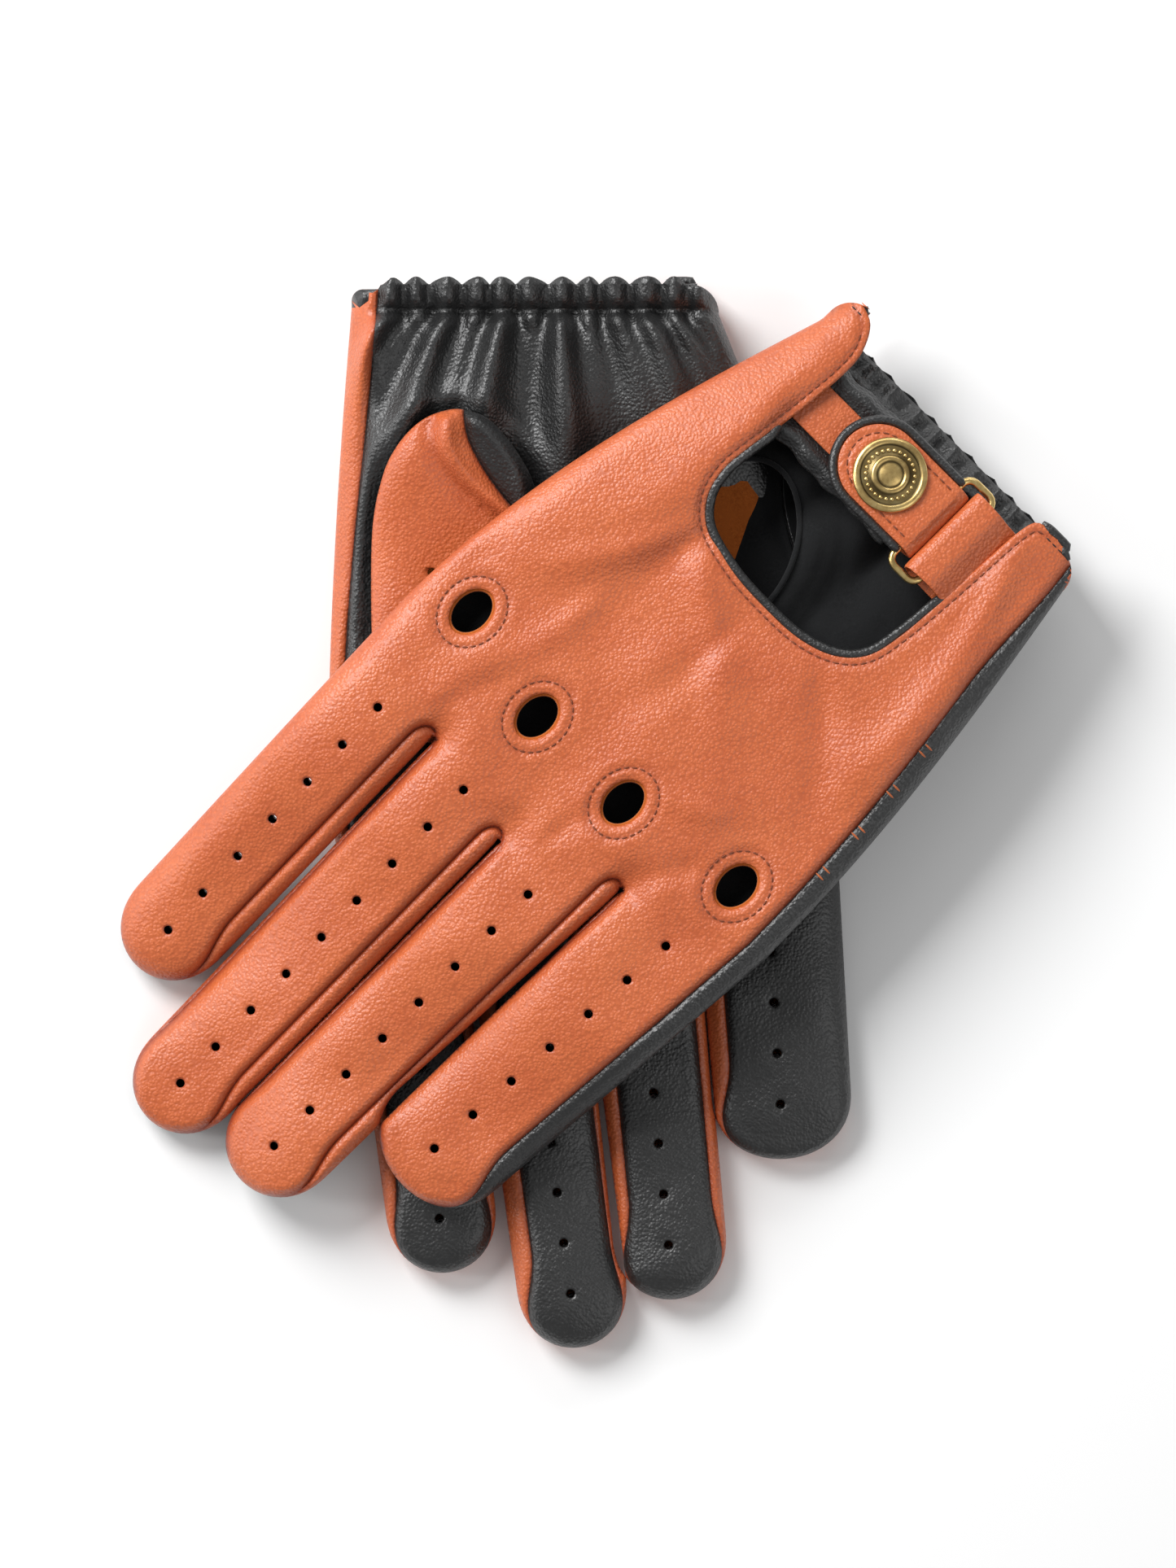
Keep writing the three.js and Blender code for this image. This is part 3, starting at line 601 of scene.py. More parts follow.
def rounded_strap(line, half_widths, thickness, y, crown, around=40):
    """A strap whose middle follows a line in X and Z, with rounded edges. crown(f, way) raises its face."""
    pts = np.asarray(line, float)
    run = np.gradient(pts, axis=0)
    run /= np.maximum(1e-9, np.linalg.norm(run, axis=1))[:, None]
    n = len(pts) - 1

    def place(turn, way):
        i = int(round(way * n))
        a = turn * 2 * math.pi
        f = rounded_power(math.cos(a), 0.55)
        h = rounded_power(math.sin(a), 0.35)
        lift = h * thickness / 2
        if h > 0:
            lift += crown(f, way) * min(1.0, h * 1.2)
        x, z = pts[i]
        return (x - run[i, 1] * lift, y + f * half_widths[i], z + run[i, 0] * lift)

    return skin(around, n, place)


def sew(lines, stitch, gap, radius):
    """Stitches along lines in space, each a short rounded length of thread."""
    bm = bmesh.new()
    for line in lines:
        pts = np.asarray(line, float)
        runs = np.concatenate([[0], np.cumsum(np.linalg.norm(np.diff(pts, axis=0), axis=1))])
        count = max(1, int(round(runs[-1] / (stitch + gap))))
        step = runs[-1] / count
        for i in range(count):
            a = Vector([np.interp((i + 0.5) * step - stitch / 2, runs, pts[:, k]) for k in range(3)])
            b = Vector([np.interp((i + 0.5) * step + stitch / 2, runs, pts[:, k]) for k in range(3)])
            way = (b - a).normalized()
            turn = way.to_track_quat("Z", "Y").to_matrix().to_4x4()
            size = Matrix.Diagonal((radius, radius, (b - a).length / 2, 1))
            bmesh.ops.create_uvsphere(
                bm, u_segments=6, v_segments=5, radius=1, matrix=Matrix.Translation((a + b) / 2) @ turn @ size
            )
    return bm


# ------------------------------------------------------------------ a glove's pattern


class Glove:
    """One glove's pattern in plan, and how it is laid out."""

    def __init__(self, name, mirrored, turn, cuff_shift, knuckle_shift, skew, lean, thumb_base, thumb_lean,
                 thumb_flap_end, flap_corner):
        self.name, self.mirrored = name, mirrored
        self.cuff_shift, self.knuckle_shift = cuff_shift, knuckle_shift
        self.thumb_base, self.thumb_lean = thumb_base, math.radians(thumb_lean)
        self.thumb_flap_end, self.flap_corner = thumb_flap_end, flap_corner
        self.lie = right_lie if mirrored else left_lie
        self.knuckle_width = sum(STALLS[n][0] for n in ORDER) + 3 * STALL_GAP
        scale = Matrix.Diagonal((MM, MM, -MM if mirrored else MM, 1))
        turning = Matrix.Rotation(math.radians(turn), 4, "Z")
        self.place = Matrix.Translation([c * MM for c in LAID]) @ turning @ scale

        self.stall = {}
        edge = self.middle(0) + self.knuckle_width / 2
        for n in ORDER:
            width, reach, drop = STALLS[n]
            x = edge - width / 2
            angle = math.radians(lean[n])
            length = (reach + skew * (x - self.middle(0))) / math.cos(angle)
            self.stall[n] = dict(x=x, width=width, lean=angle, length=length, drop=drop)
            edge -= width + STALL_GAP
        self.webs = []
        for i, reach in enumerate(CROTCH):
            before = sum(STALLS[n][0] + STALL_GAP for n in ORDER[:i + 1]) - STALL_GAP / 2
            base = self.middle(0) + self.knuckle_width / 2 - before
            y = reach + skew * (base - self.middle(0))
            slope = math.tan(math.radians(lean[ORDER[i]] + lean[ORDER[i + 1]]) / 2)
            self.webs.append((base + y * slope, y))
        self.open_x = self.middle(STRAP_Y) + 2.5

        # the strap and its metal tilt with the cuff in one piece
        rise = self.lie(np.array([0.0, 0.0, 0.0]), STRAP_Y + np.array([0.0, 5.0, -5.0]))
        tilt = math.atan2(float(rise[1] - rise[2]), 10)
        self.strap_place = (
            Matrix.Translation((0, STRAP_Y, float(rise[0]))) @ Matrix.Rotation(tilt, 4, "X")
            @ Matrix.Translation((0, -STRAP_Y, 0))
        )
        self.draw_edge()

    # the hand in plan
    def middle(self, y):
        e = np.sin(math.pi / 2 * np.clip(1 + y / HAND_LENGTH, 0, 1))
        return self.cuff_shift * (1 - e) + self.knuckle_shift * e

    def half(self, y):
        e = np.sin(math.pi / 2 * np.clip(1 + y / HAND_LENGTH, 0, 1))
        return CUFF_WIDTH / 2 + (self.knuckle_width - CUFF_WIDTH) / 2 * e

    def on_stall(self, n, q, s):
        f = self.stall[n]
        return np.array([
            f["x"] + s * math.sin(f["lean"]) + q * math.cos(f["lean"]),
            s * math.cos(f["lean"]) - q * math.sin(f["lean"]),
        ])

    def stall_half(self, n, s):
        f = self.stall[n]
        body = f["width"] / 2 * (1 - STALL_TAPER * max(0.0, s) / f["length"])
        end = min(1.0, max(0.0, (s - f["length"] + TIP_ROUND) / TIP_ROUND))
        return body * math.sqrt(max(0.0, 1 - end**2.3))

    def stall_side(self, n, side, start_y, inset=0.0, last=90):
        """The edge of a stall, or a seam inset from it that runs out at the tip, from start_y up to the tip.
        last is how far round the tip it goes, in degrees."""
        f = self.stall[n]
        straight = f["length"] - TIP_ROUND
        web = next((w for i, w in enumerate(self.webs) if n == ORDER[i + (side > 0)]), None)
        end = straight + TIP_ROUND * math.sin(math.radians(60))
        stops = list(np.arange(-2.0, straight, 1.15)) + [
            straight + TIP_ROUND * math.sin(math.radians(a)) for a in range(0, last + 1, 6)
        ]
        line = []
        for s in stops:
            q = self.stall_half(n, s) - inset * (1 - float(smooth(s, straight - 8, end)))
            at = self.on_stall(n, side * q, s)
            if web is not None and inset == 0:
                q -= 0.12 * math.exp(-(((at[1] - web[1]) / 4) ** 2))
                at = self.on_stall(n, side * q, s)
            if at[1] >= start_y:
                line.append(at)
        return np.array(line)

    def draw_edge(self):
        """The glove's edge in plan, from the little side of the cuff round the fingers to the thumb side."""
        ys = np.arange(CUFF_CORNER - PALM_END, -2.5, 1.3)
        line = [np.stack([self.middle(ys) - self.half(ys), ys], axis=1)]
        for i in (3, 2, 1, 0):
            n = ORDER[i]
            up = self.stall_side(n, -1, self.webs[i][1] + 0.8 if i < 3 else -1.0)
            down = self.stall_side(n, 1, self.webs[i - 1][1] + 0.8 if i > 0 else -1.0)[:-1][::-1]
            line += [up, down]
            if i > 0:
                x, y = self.webs[i - 1]
                line.append(np.array([(x - 0.5, y + 0.15), (x, y), (x + 0.5, y + 0.15)]))
        ys = np.arange(-2.5, self.flap_corner - self.thumb_flap_end, -1.3)
        line.append(np.stack([self.middle(ys) + self.half(ys), ys], axis=1))
        self.edge = np.vstack(line)
        angle = np.radians(np.arange(6, 91, 9))
        bend = np.stack([np.cos(angle), np.sin(angle)], axis=1)
        centre = np.array([self.edge[-1, 0] - self.flap_corner, self.flap_corner - self.thumb_flap_end])
        self.corner = centre + self.flap_corner * bend * (1, -1)
        centre = np.array([self.edge[0, 0] + CUFF_CORNER, CUFF_CORNER - PALM_END])
        self.little_corner = (centre - CUFF_CORNER * bend)[::-1]
        # the rolled edge runs on straight past the cuff, so that the leather isn't rounded off there
        self.roll_line = np.vstack([(self.edge[0, 0], -140.0), self.edge, (self.edge[-1, 0], -140.0)])

    # seams
    def fork_seam(self, i, inset):
        """A fourchette's seam between stalls i and i + 1: down one stall, round the web, and up the other."""
        first, second = ORDER[i], ORDER[i + 1]
        start = self.webs[i][1] + 2.5
        a = self.stall_side(first, -1, start, inset["little"], 60)
        b = self.stall_side(second, 1, start, inset["thumb"], 60)
        right, left = a[0], b[0]
        centre, radius = (right + left) / 2, abs(right[0] - left[0]) / 2
        angle = np.radians(np.arange(20, 161, 20))
        dip = 2.0 + inset["little"] * 0.55
        bend = np.stack([centre[0] + radius * np.cos(angle), centre[1] - dip * np.sin(angle)], axis=1)
        return np.vstack([a[::-1], bend, b])

    def fork_region(self, seam):
        """The strip between a fourchette's seam and the slit between two stalls."""
        start, stop = nearest(self.edge, seam[-1]), nearest(self.edge, seam[0])
        return np.vstack([seam, self.edge[start:stop + 1]])

    def side_seam(self, side, inset):
        """The seam between back and palm along one side of the hand, and on along the outer stall."""
        ys = np.arange(-(PALM_END if side < 0 else self.thumb_flap_end), -2.5, 1.3)
        hand = np.stack([self.middle(ys) + side * (self.half(ys) - inset(ys)), ys], axis=1)
        name = "index" if side > 0 else "little"
        stall = self.stall_side(name, side, -0.5, float(inset(np.array([0.0]))[0]), 60)
        return np.vstack([hand, stall])

    def side_region(self, side, seam):
        """The strip between a side seam and the glove's edge."""
        tip = nearest(self.edge, seam[-1])
        return np.vstack([seam, self.edge[:tip + 1][::-1] if side < 0 else self.edge[tip:]])

    def holes(self):
        """The middle of each knuckle hole, with its finger."""
        return [(self.on_stall(n, 0, -self.stall[n]["drop"]), n) for n in ORDER]

    def perforations(self, rows):
        """Punched holes in a row down the middle of each stall, from rows["end"] short of its tip."""
        out = []
        for n in ORDER:
            s = self.stall[n]["length"] - rows["end"]
            while s > rows[n]:
                out.append(self.on_stall(n, 0.4, s))
                s -= PITCH
        return out

    # heights
    def rounding(self, points):
        """How far in from the rolled edge each point is, and its share of the glove's full height."""
        d = np.minimum(distance(points, self.roll_line), EDGE_ROLL)
        return d, (1 - (1 - d / EDGE_ROLL) ** ROLL_POWER) ** (1 / ROLL_POWER)

    def ripple(self, points, scale, height, seed):
        """Slow unevenness, the same at each making."""
        return height * np.array([noise.noise(Vector((p[0] / scale, p[1] / scale, seed))) for p in points])

    def folds(self, points, folds):
        """Long soft folds, each from one point to another, with a width and a height."""
        out = np.zeros(len(points))
        for (x0, y0), (x1, y1), width, height in folds:
            run = np.array([x1 - x0, y1 - y0], float)
            length = np.linalg.norm(run)
            run /= length
            rel = points - np.array([x0, y0])
            along, off = rel @ run, rel @ np.array([-run[1], run[0]])
            t = along / length
            bend = off - 0.06 * length * np.sin(math.pi * np.clip(t, 0, 1))
            ends = smooth(t, -0.12, 0.15) * (1 - smooth(t, 0.55, 1.1))
            out += height * bell(bend, width * (0.6 + 0.6 * np.clip(t, 0, 1))) * ends
        return out


def web_hollow(g, points, free):
    """The leather is drawn down at each web."""
    out = np.zeros(len(points))
    for x, y in g.webs:
        r = np.hypot(points[:, 0] - x, (points[:, 1] - y + 2.5) / 1.5)
        out -= free * 0.8 * bell(r, 3.2)
    return out


def back_heights(g, points, seams, opening):
    """Height of the back's grain side above the glove's middle, and how much painted shade each point takes,
    deepest in its seams and stitch lines.
    """
    d, body = g.rounding(points)
    z = HALF_THICK * body
    free = smooth(d, 0.0, 1.6)
    crease = np.zeros(len(points))
    for i, seam in enumerate(seams):
        off = distance(points, seam)
        dip = 0.55 if i == 0 else 1.0       # the side seam is shallower than the fourchettes'
        z += free * (-dip * bell(off, 0.7) + 0.32 * bell(off - 1.9, 1.1))
        crease = np.maximum(crease, bell(off, 0.6))
    off = distance(points, opening)
    z += free * (-0.35 * bell(off, 0.8) - 0.4 * bell(off - OPENING_SEWN, 0.42) + 0.15 * bell(off - 3.0, 0.8))
    crease = np.maximum(crease, 0.55 * bell(off - OPENING_SEWN, 0.45))
    for at, _ in g.holes():
        rx, ry = KNUCKLE_HOLE
        rel = points - at
        away = (np.hypot(rel[:, 0] / rx, rel[:, 1] / ry) - 1) * (rx + ry) / 2
        z += free * (-0.35 * bell(away, 1.4) - 0.38 * bell(away - KNUCKLE_SEWN, 0.5)
                     + 0.2 * bell(away - 1.4, 0.7) + 0.15 * bell(away - 4.2, 1.2))
        crease = np.maximum(crease, 0.45 * bell(away - KNUCKLE_SEWN, 0.45))
    z += web_hollow(g, points, free)
    for x, y in g.webs:
        z += free * 0.35 * (bell(np.hypot(points[:, 0] - x - 5, points[:, 1] - y + 7), 4)
                            + bell(np.hypot(points[:, 0] - x + 5, points[:, 1] - y + 7), 4))
    z += smooth(d, 0, 5) * (g.ripple(points, 36, 1.7, 2.0) + g.ripple(points, 14, 0.75, 7.0))
    # painted shade also darkens the leather towards its rolled edge
    return z, np.clip(crease + 0.25 * (1 - smooth(d, 0, 2.2)), 0, 1)


class Gathers:
    """The palm's cuff, drawn up by its elastic into a row of puffs with ridges that fan into the palm. Each
    ridge has its reach into the palm and its height; sewn is where the elastic's stitches run."""

    reach = [58, 22, 46, 36, 50, 16, 60, 28, 42, 52, 34, 18]
    height = [4.0, 1.3, 3.5, 1.8, 4.0, 1.0, 4.4, 1.4, 3.0, 4.0, 1.8, 1.3]
    sewn = -101.8

    def __init__(self, g):
        self.scallop = 1.8 if g.mirrored else 1.0
        low = float(g.middle(self.sewn) - g.half(self.sewn)) + 3.5
        high = float(g.middle(self.sewn) + g.half(self.sewn)) - 8.5
        self.centre, self.half = (low + high) / 2, (high - low) / 2
        self.pitch = (high - low) / (len(self.reach) - 1)
        self.at = [high - i * self.pitch for i in range(len(self.reach))]

    def phase(self, x):
        """Where along its puff a place on the cuff is; the puffs are uneven."""
        return math.pi * (x - self.at[0] + 0.6 * np.sin(x * 0.31) + 0.25 * np.sin(x * 0.83 + 1)) / self.pitch

    def edge(self, x):
        """How far the puffed edge stands out beyond the plain cut."""
        return self.scallop * np.abs(np.cos(self.phase(x))) ** 0.8

    def rise(self, points):
        """How far the puffs and ridges stand out from the plain palm."""
        x, y = points[:, 0], points[:, 1]
        out = np.zeros(len(points))
        inner = y - self.sewn
        wave = np.cos(self.phase(x)) ** 2
        sides = smooth(x, self.at[-1] - 5, self.at[-1]) * (1 - smooth(x, self.at[0], self.at[0] + 5))
        hem = 1 - smooth(y, self.sewn - 2.6, self.sewn - 0.3)
        out += sides * hem * (2.7 * wave ** 0.7 - 1.0)
        out -= sides * 1.1 * bell(inner, 1.0)
        for i, (x0, reach, height) in enumerate(zip(self.at, self.reach, self.height)):
            outward = (x0 - self.centre) / self.half
            slope = 0.7 * outward + 0.05 * math.sin(i * 2.1)
            curl = 0.004 * outward
            off = x - x0 - slope * inner + curl * inner * inner
            start, spread = (2.5, 0.07) if reach > 40 else (1.5, 0.05)
            width = start + spread * np.clip(inner, 0, 60)
            fade = 1 - smooth(inner / reach, 0.2, 1.0)
            out += 1.25 * height * bell(off, width) * smooth(inner, -0.2, 3.5) * fade
            out -= 0.4 * height * bell(off - 2.1 * width, 1.3 * width) * smooth(inner, 1, 5) * fade
            between = x - x0 + self.pitch / 2
            if i < len(self.reach) - 1:
                out -= 2.6 * bell(between, 1.7) * bell(inner - 0.8, 3.0)
        out -= 0.9 * smooth(inner, 0, 3) * (1 - smooth(inner, 8, 40)) * sides
        return out


def palm_heights(g, points, seams, gathers, outline_of_thumb):
    """Depth of the palm's grain side below the glove's middle, and how much painted shade each point takes,
    in its seams and in the hollows of the gathers.
    """
    d, body = g.rounding(points)
    z = (HALF_THICK + sag(points[:, 1])) * body
    free = smooth(d, 0.0, 1.6)
    crease = np.zeros(len(points))
    for seam in seams:
        off = distance(points, seam)
        z += free * (-0.6 * bell(off, 0.7) + 0.25 * bell(off - 1.8, 1.1))
        crease = np.maximum(crease, 0.8 * bell(off, 0.55))
    off = distance(points, outline_of_thumb, True)
    within = inside(points, outline_of_thumb)
    z += free * np.where(within, -1.5 * smooth(off, 0, 3.0), 1.15 * bell(off - 3.4, 2.2))
    z += web_hollow(g, points, free)
    drawn = gathers.rise(points) * smooth(d, 0.3, 4.5)
    z += drawn
    # painted shade in the hollows between the gathers
    crease = np.maximum(crease, np.clip(-drawn * 0.35, 0, 0.6))
    z += smooth(d, 0, 5) * (g.ripple(points, 30, 1.3, 5.0) + g.ripple(points, 12, 0.6, 9.0))
    return z, np.clip(crease, 0, 1)


# ------------------------------------------------------------------ sewing one glove

# the wrist opening's edge, from the thumb flap's end round to the little flap's end
OPENING = [(31.5, -114.5), (26.6, -112.3), (23.6, -106.5), (23.2, -100), (23.7, -94), (24.8, -84),
           (26.2, -74),
           (26.6, -68), (25, -61.8), (20, -56.9), (10, -54.3), (0, -53.7), (-10, -54.2), (-18, -57.0),
           (-22.8, -62), (-24.6, -70), (-25.6, -80), (-26.4, -92), (-27, -102), (-28.2, -107.2),
           (-31, -108.5)]

# the folded thumb in plan, from its base: (across, along) its own line
THUMB = [(-2.0, -0.5), (3.5, 1.2), (8.0, 4.8), (11.6, 10), (13.6, 15.5), (15.0, 22), (15.6, 30), (15.6, 45),
         (15.0, 57), (12.6, 65.5), (7.5, 70), (0, 71.2), (-7.5, 69.6), (-12.8, 64), (-15.2, 54), (-16.8, 40),
         (-18.6, 30), (-19.8, 22), (-19.2, 15), (-14.6, 7), (-9.6, 1.6), (-5.6, 0.0)]
THUMB_SEAM = [(-4.2, -0.2), (-4.6, 3.0), (-5.6, 6.8), (-8.6, 12.5), (-13.0, 18.5), (-17.0, 23.0),
              (-19.7, 25.5)]
THUMB_FOLD = [(-0.5, 2.5), (-1.2, 8.5), (-5.5, 15.0), (-11.5, 20.5), (-17.0, 24.6)]
THUMB_ROLL = [(-6.8, 1.8), (-11.5, 6.6), (-16.0, 14.0), (-18.0, 21.5)]
THUMB_HOLE = (-1.0, 22.5, 13.0, 19.0)         # its middle, and its radius across and along
THUMB_DOTS = [(2.5, 34.5), (2.5, 45.5), (2.3, 56.5)]


def on_thumb(g, q, s):
    """A place on the thumb's own line, q across and s along it, in the glove's plan."""
    x, y = g.thumb_base
    c, n = math.cos(g.thumb_lean), math.sin(g.thumb_lean)
    q, s = np.asarray(q, float), np.asarray(s, float)
    return np.stack([x + s * n + q * c, y + s * c - q * n], axis=-1)


def piece_mesh(parts):
    """One mesh from parts, each (points in space, triangles, finish of each triangle, painted shade of each
    point)."""
    bm = bmesh.new()
    layer = bm.verts.layers.float.new("crease")
    for points, faces, finish, crease in parts:
        used = np.unique(faces)
        made = {}
        for i in used:
            v = bm.verts.new(points[i])
            v[layer] = float(crease[i])
            made[int(i)] = v
        for (a, b, c), index in zip(faces, finish):
            f = bm.faces.new((made[int(a)], made[int(b)], made[int(c)]))
            f.material_index = int(index)
    bmesh.ops.remove_doubles(bm, verts=bm.verts, dist=2e-3)
    return bm


def little_inset(ys):
    """From the glove's edge to the seam down the little side; it runs out towards the cuff."""
    return SIDE_SEAM - 2.8 * smooth(-ys, 72, 106)


def thumb_inset(ys):
    """From the glove's edge to the seam down the thumb side, where the back wraps on to the palm."""
    return 3.2 + 2.4 * smooth(-ys, 15, 100)


def dot_rows(spots):
    """Rings of extra points round the punched holes."""
    radius = PERFORATION + 0.55
    return [(oval(x, y, radius, radius, 14), True, (0.0,)) for x, y in spots]


def sew_hand(g):
    """The back, the palm and the fourchettes, each cut from the sheets that its seams divide."""
    name = g.name
    spots = [(x + g.open_x + 0.1, max(y, -g.thumb_flap_end) if i < 3 else y)
             for i, (x, y) in enumerate(OPENING)]
    if g.thumb_flap_end < -OPENING[1][1]:
        spots[1] = (spots[1][0] + 0.6, spots[1][1] + 1.2)
        spots[2] = (spots[2][0] + 0.9, spots[2][1] + 3.4)
    opening = dense(spots, 1.0)
    little_seam = g.side_seam(-1, little_inset)
    thumb_seam = g.side_seam(1, thumb_inset)
    gathers = Gathers(g)

    # the back's outline: the glove's edge, the thumb flap, the wrist opening and the little flap
    edge = g.edge
    flap_x = float(edge[0, 0]) + CUFF_CORNER + 0.3
    back_outline = np.vstack([
        edge, g.corner,
        even(np.vstack([g.corner[-1:], opening[:1]]), 1.2)[1:-1],
        opening,
        even(np.array([opening[-1], (flap_x, -LITTLE_FLAP_END)]), 1.2)[1:],
        g.little_corner,
    ])
    knuckles = [oval(at[0], at[1], *KNUCKLE_HOLE, 44) for at, _ in g.holes()]
    back_dots = g.perforations(BACK_DOTS)
    dots = [oval(x, y, PERFORATION, PERFORATION, 14) for x, y in back_dots]
    back_forks = [g.fork_seam(i, BACK_SEAM) for i in range(3)]
    rows = [(s, False, (0.5, 1.1, 1.9)) for s in [little_seam, *back_forks]]
    rows += [(opening, False, (0.55, 1.15, 1.75, 2.4))]
    rows += [(oval(at[0], at[1], KNUCKLE_HOLE[0] + e, KNUCKLE_HOLE[1] + e, 48), True, (0.0,))
             for at, _ in g.holes() for e in (0.6, 1.2, 1.9, 2.7, 3.5)]
    rows += dot_rows(back_dots)
    verts, faces = cut_sheet(back_outline, edge, [little_seam, *back_forks], knuckles + dots, rows)
    z, crease = back_heights(g, verts, [little_seam, *back_forks], opening)
    z += g.folds(verts, BACK_FOLDS[name]) * smooth(g.rounding(verts)[0], 0, 5)
    # each punched hole sinks a little into the leather, with painted shade round its edge
    for x, y in back_dots:
        r = np.hypot(verts[:, 0] - x, verts[:, 1] - y)
        z -= 0.22 * bell(np.maximum(0, r - PERFORATION), 0.55)
        crease = np.maximum(crease, 0.6 * bell(r - PERFORATION, 0.3))
    on_edge = distance(verts, g.roll_line) < 1e-3
    z[on_edge] = 0
    back_points = np.column_stack([verts, z])
    middle = verts[faces].mean(1)
    upper = {"palm_panel": inside(middle, g.side_region(-1, little_seam))}
    for i, seam in enumerate(back_forks):
        upper[f"fourchettes_{ORDER[i]}_{ORDER[i + 1]}"] = inside(middle, g.fork_region(seam))
    upper["back_panel"] = ~np.any(list(upper.values()), axis=0)
    upper_sheet = (back_points, faces, crease)

    # the palm's outline: the glove's edge, the back's wrap on the thumb side, and the gathered cuff
    x0, x1 = float(edge[0, 0]), float(thumb_seam[0, 0])
    seam_low = thumb_seam[thumb_seam[:, 1] < -PALM_END - 0.4]
    seam_high = thumb_seam[thumb_seam[:, 1] >= -PALM_END - 0.4]
    top_of_slot = seam_high[0]
    xs = np.arange(top_of_slot[0] - 0.5, x0 + CUFF_CORNER + 0.3, -0.5)
    ends = smooth(xs, x0 + 5, x0 + 9) * (1 - smooth(xs, top_of_slot[0] - 4, top_of_slot[0]))
    cuff_edge = np.stack([xs, -PALM_END - gathers.edge(xs) * ends], axis=1)
    palm_outline = np.vstack([
        edge, g.corner[g.corner[:, 0] > thumb_seam[0, 0] + 0.6], seam_low, [top_of_slot], cuff_edge,
        g.little_corner,
    ])
    palm_forks = [g.fork_seam(i, PALM_SEAM) for i in range(3)]
    palm_dots = g.perforations(PALM_DOTS)
    thumb_line = dense([tuple(on_thumb(g, q, s)) for q, s in THUMB], 1.2, True)
    q, s, rq, rs = THUMB_HOLE
    thumb_hole = on_thumb(g, *(oval(q, s, rq, rs, 60).T))
    dots = [oval(x, y, PERFORATION, PERFORATION, 14) for x, y in palm_dots]
    rows = [(seam, False, (0.5, 1.1, 1.9)) for seam in palm_forks]
    rows += [(seam_high, False, (0.5, 1.1, 1.9)), (thumb_line, True, (0.0, 0.8, 1.7))]
    rows += dot_rows(palm_dots)
    rows += [(np.array([(x0 + 2, y), (x1 - 2, y)]), False, (0.4,)) for y in np.arange(-106.8, -93.5, 1.0)]
    verts, faces = cut_sheet(palm_outline, edge, [seam_high, *palm_forks], [thumb_hole] + dots, rows)
    z, crease = palm_heights(g, verts, [seam_high, *palm_forks], gathers, thumb_line)
    z += g.folds(verts, PALM_FOLDS[name]) * smooth(g.rounding(verts)[0], 0, 5)
    for x, y in palm_dots:
        r = np.hypot(verts[:, 0] - x, verts[:, 1] - y)
        z -= 0.22 * bell(np.maximum(0, r - PERFORATION), 0.55)
    on_edge = distance(verts, g.roll_line) < 1e-3
    z[on_edge] = 0
    palm_points = np.column_stack([verts, -z])
    faces = faces[:, ::-1]
    middle = verts[faces].mean(1)
    lower = {"back_panel": inside(middle, g.side_region(1, thumb_seam))}
    for i, seam in enumerate(palm_forks):
        lower[f"fourchettes_{ORDER[i]}_{ORDER[i + 1]}"] = inside(middle, g.fork_region(seam))
    lower["palm_panel"] = ~np.any(list(lower.values()), axis=0)
    lower_sheet = (palm_points, faces, crease)

    # each piece takes its triangles from both sheets
    for part in upper:
        parts = []
        for (points, tri, shade), chosen in ((upper_sheet, upper[part]), (lower_sheet, lower[part])):
            if chosen.any():
                parts.append((points, tri[chosen], np.zeros(int(chosen.sum())), shade))
        black = part == "palm_panel"
        finishes = [black_leather, black_suede] if black else [tan_leather, orange_suede]
        piece = finished(f"{name}_{part}_leather", piece_mesh(parts), g, "glove",
                         finishes, [f"{name}_{part}"])
        thicken(piece, LEATHER, 1, 0)

    def palm_depth(points):
        return palm_heights(g, points, [seam_high, *palm_forks], gathers, thumb_line)[0]

    def on_back(points):
        points = np.asarray(points, float)
        return (back_heights(g, points, [little_seam, *back_forks], opening)[0]
                + g.folds(points, BACK_FOLDS[name]))

    def on_palm(points):
        points = np.asarray(points, float)
        return -palm_depth(points) - g.folds(points, PALM_FOLDS[name])

    rim = even(thumb_hole, 1.2, True)
    inner = np.column_stack([rim, -palm_depth(rim) + LEATHER + 0.45])
    inner = np.vstack([inner, inner[:1]])
    finished(f"{name}_thumb_hole_seam", tube(inner, 0.6, 10), g, "glove", [black_suede])
    return on_back, on_palm, opening, gathers


# soft folds in the leather: from, to, width and height, a hollow where the height is negative
BACK_FOLDS = {
    "left": [
        ((30, -106), (41, -24), 7.0, 1.5), ((27, -92), (24, -28), 4.0, -1.3),
        ((-30, -100), (-40, -26), 4.5, 1.4), ((18, -50), (-14, -26), 4.5, 1.1),
        ((22, -58), (44, -22), 3.6, 1.0), ((-18, -52), (-44, -20), 4.5, -1.0),
        ((2, -46), (8, -12), 4.0, -0.8), ((26, -30), (38, 6), 4.0, 0.8),
        ((-26, -16), (-6, -8), 3.0, 0.6), ((-2, 16), (-10, -6), 3.0, -0.7),
        ((-22, 8), (-34, -8), 3.0, -0.7), ((34, 12), (26, -8), 3.0, -0.6),
    ],
    "right": [((30, -96), (24, -30), 5.0, 0.8), ((-26, -92), (-34, -30), 4.5, 0.7)],
}
PALM_FOLDS = {
    "left": [((10, -60), (-20, -10), 5.0, 0.7), ((-20, -70), (-36, -10), 4.0, 0.5)],
    "right": [
        ((4, -58), (-22, -8), 5.0, 1.3), ((-14, -70), (-34, -14), 4.0, 1.1), ((12, -40), (2, 8), 5, 1.0),
    ],
}


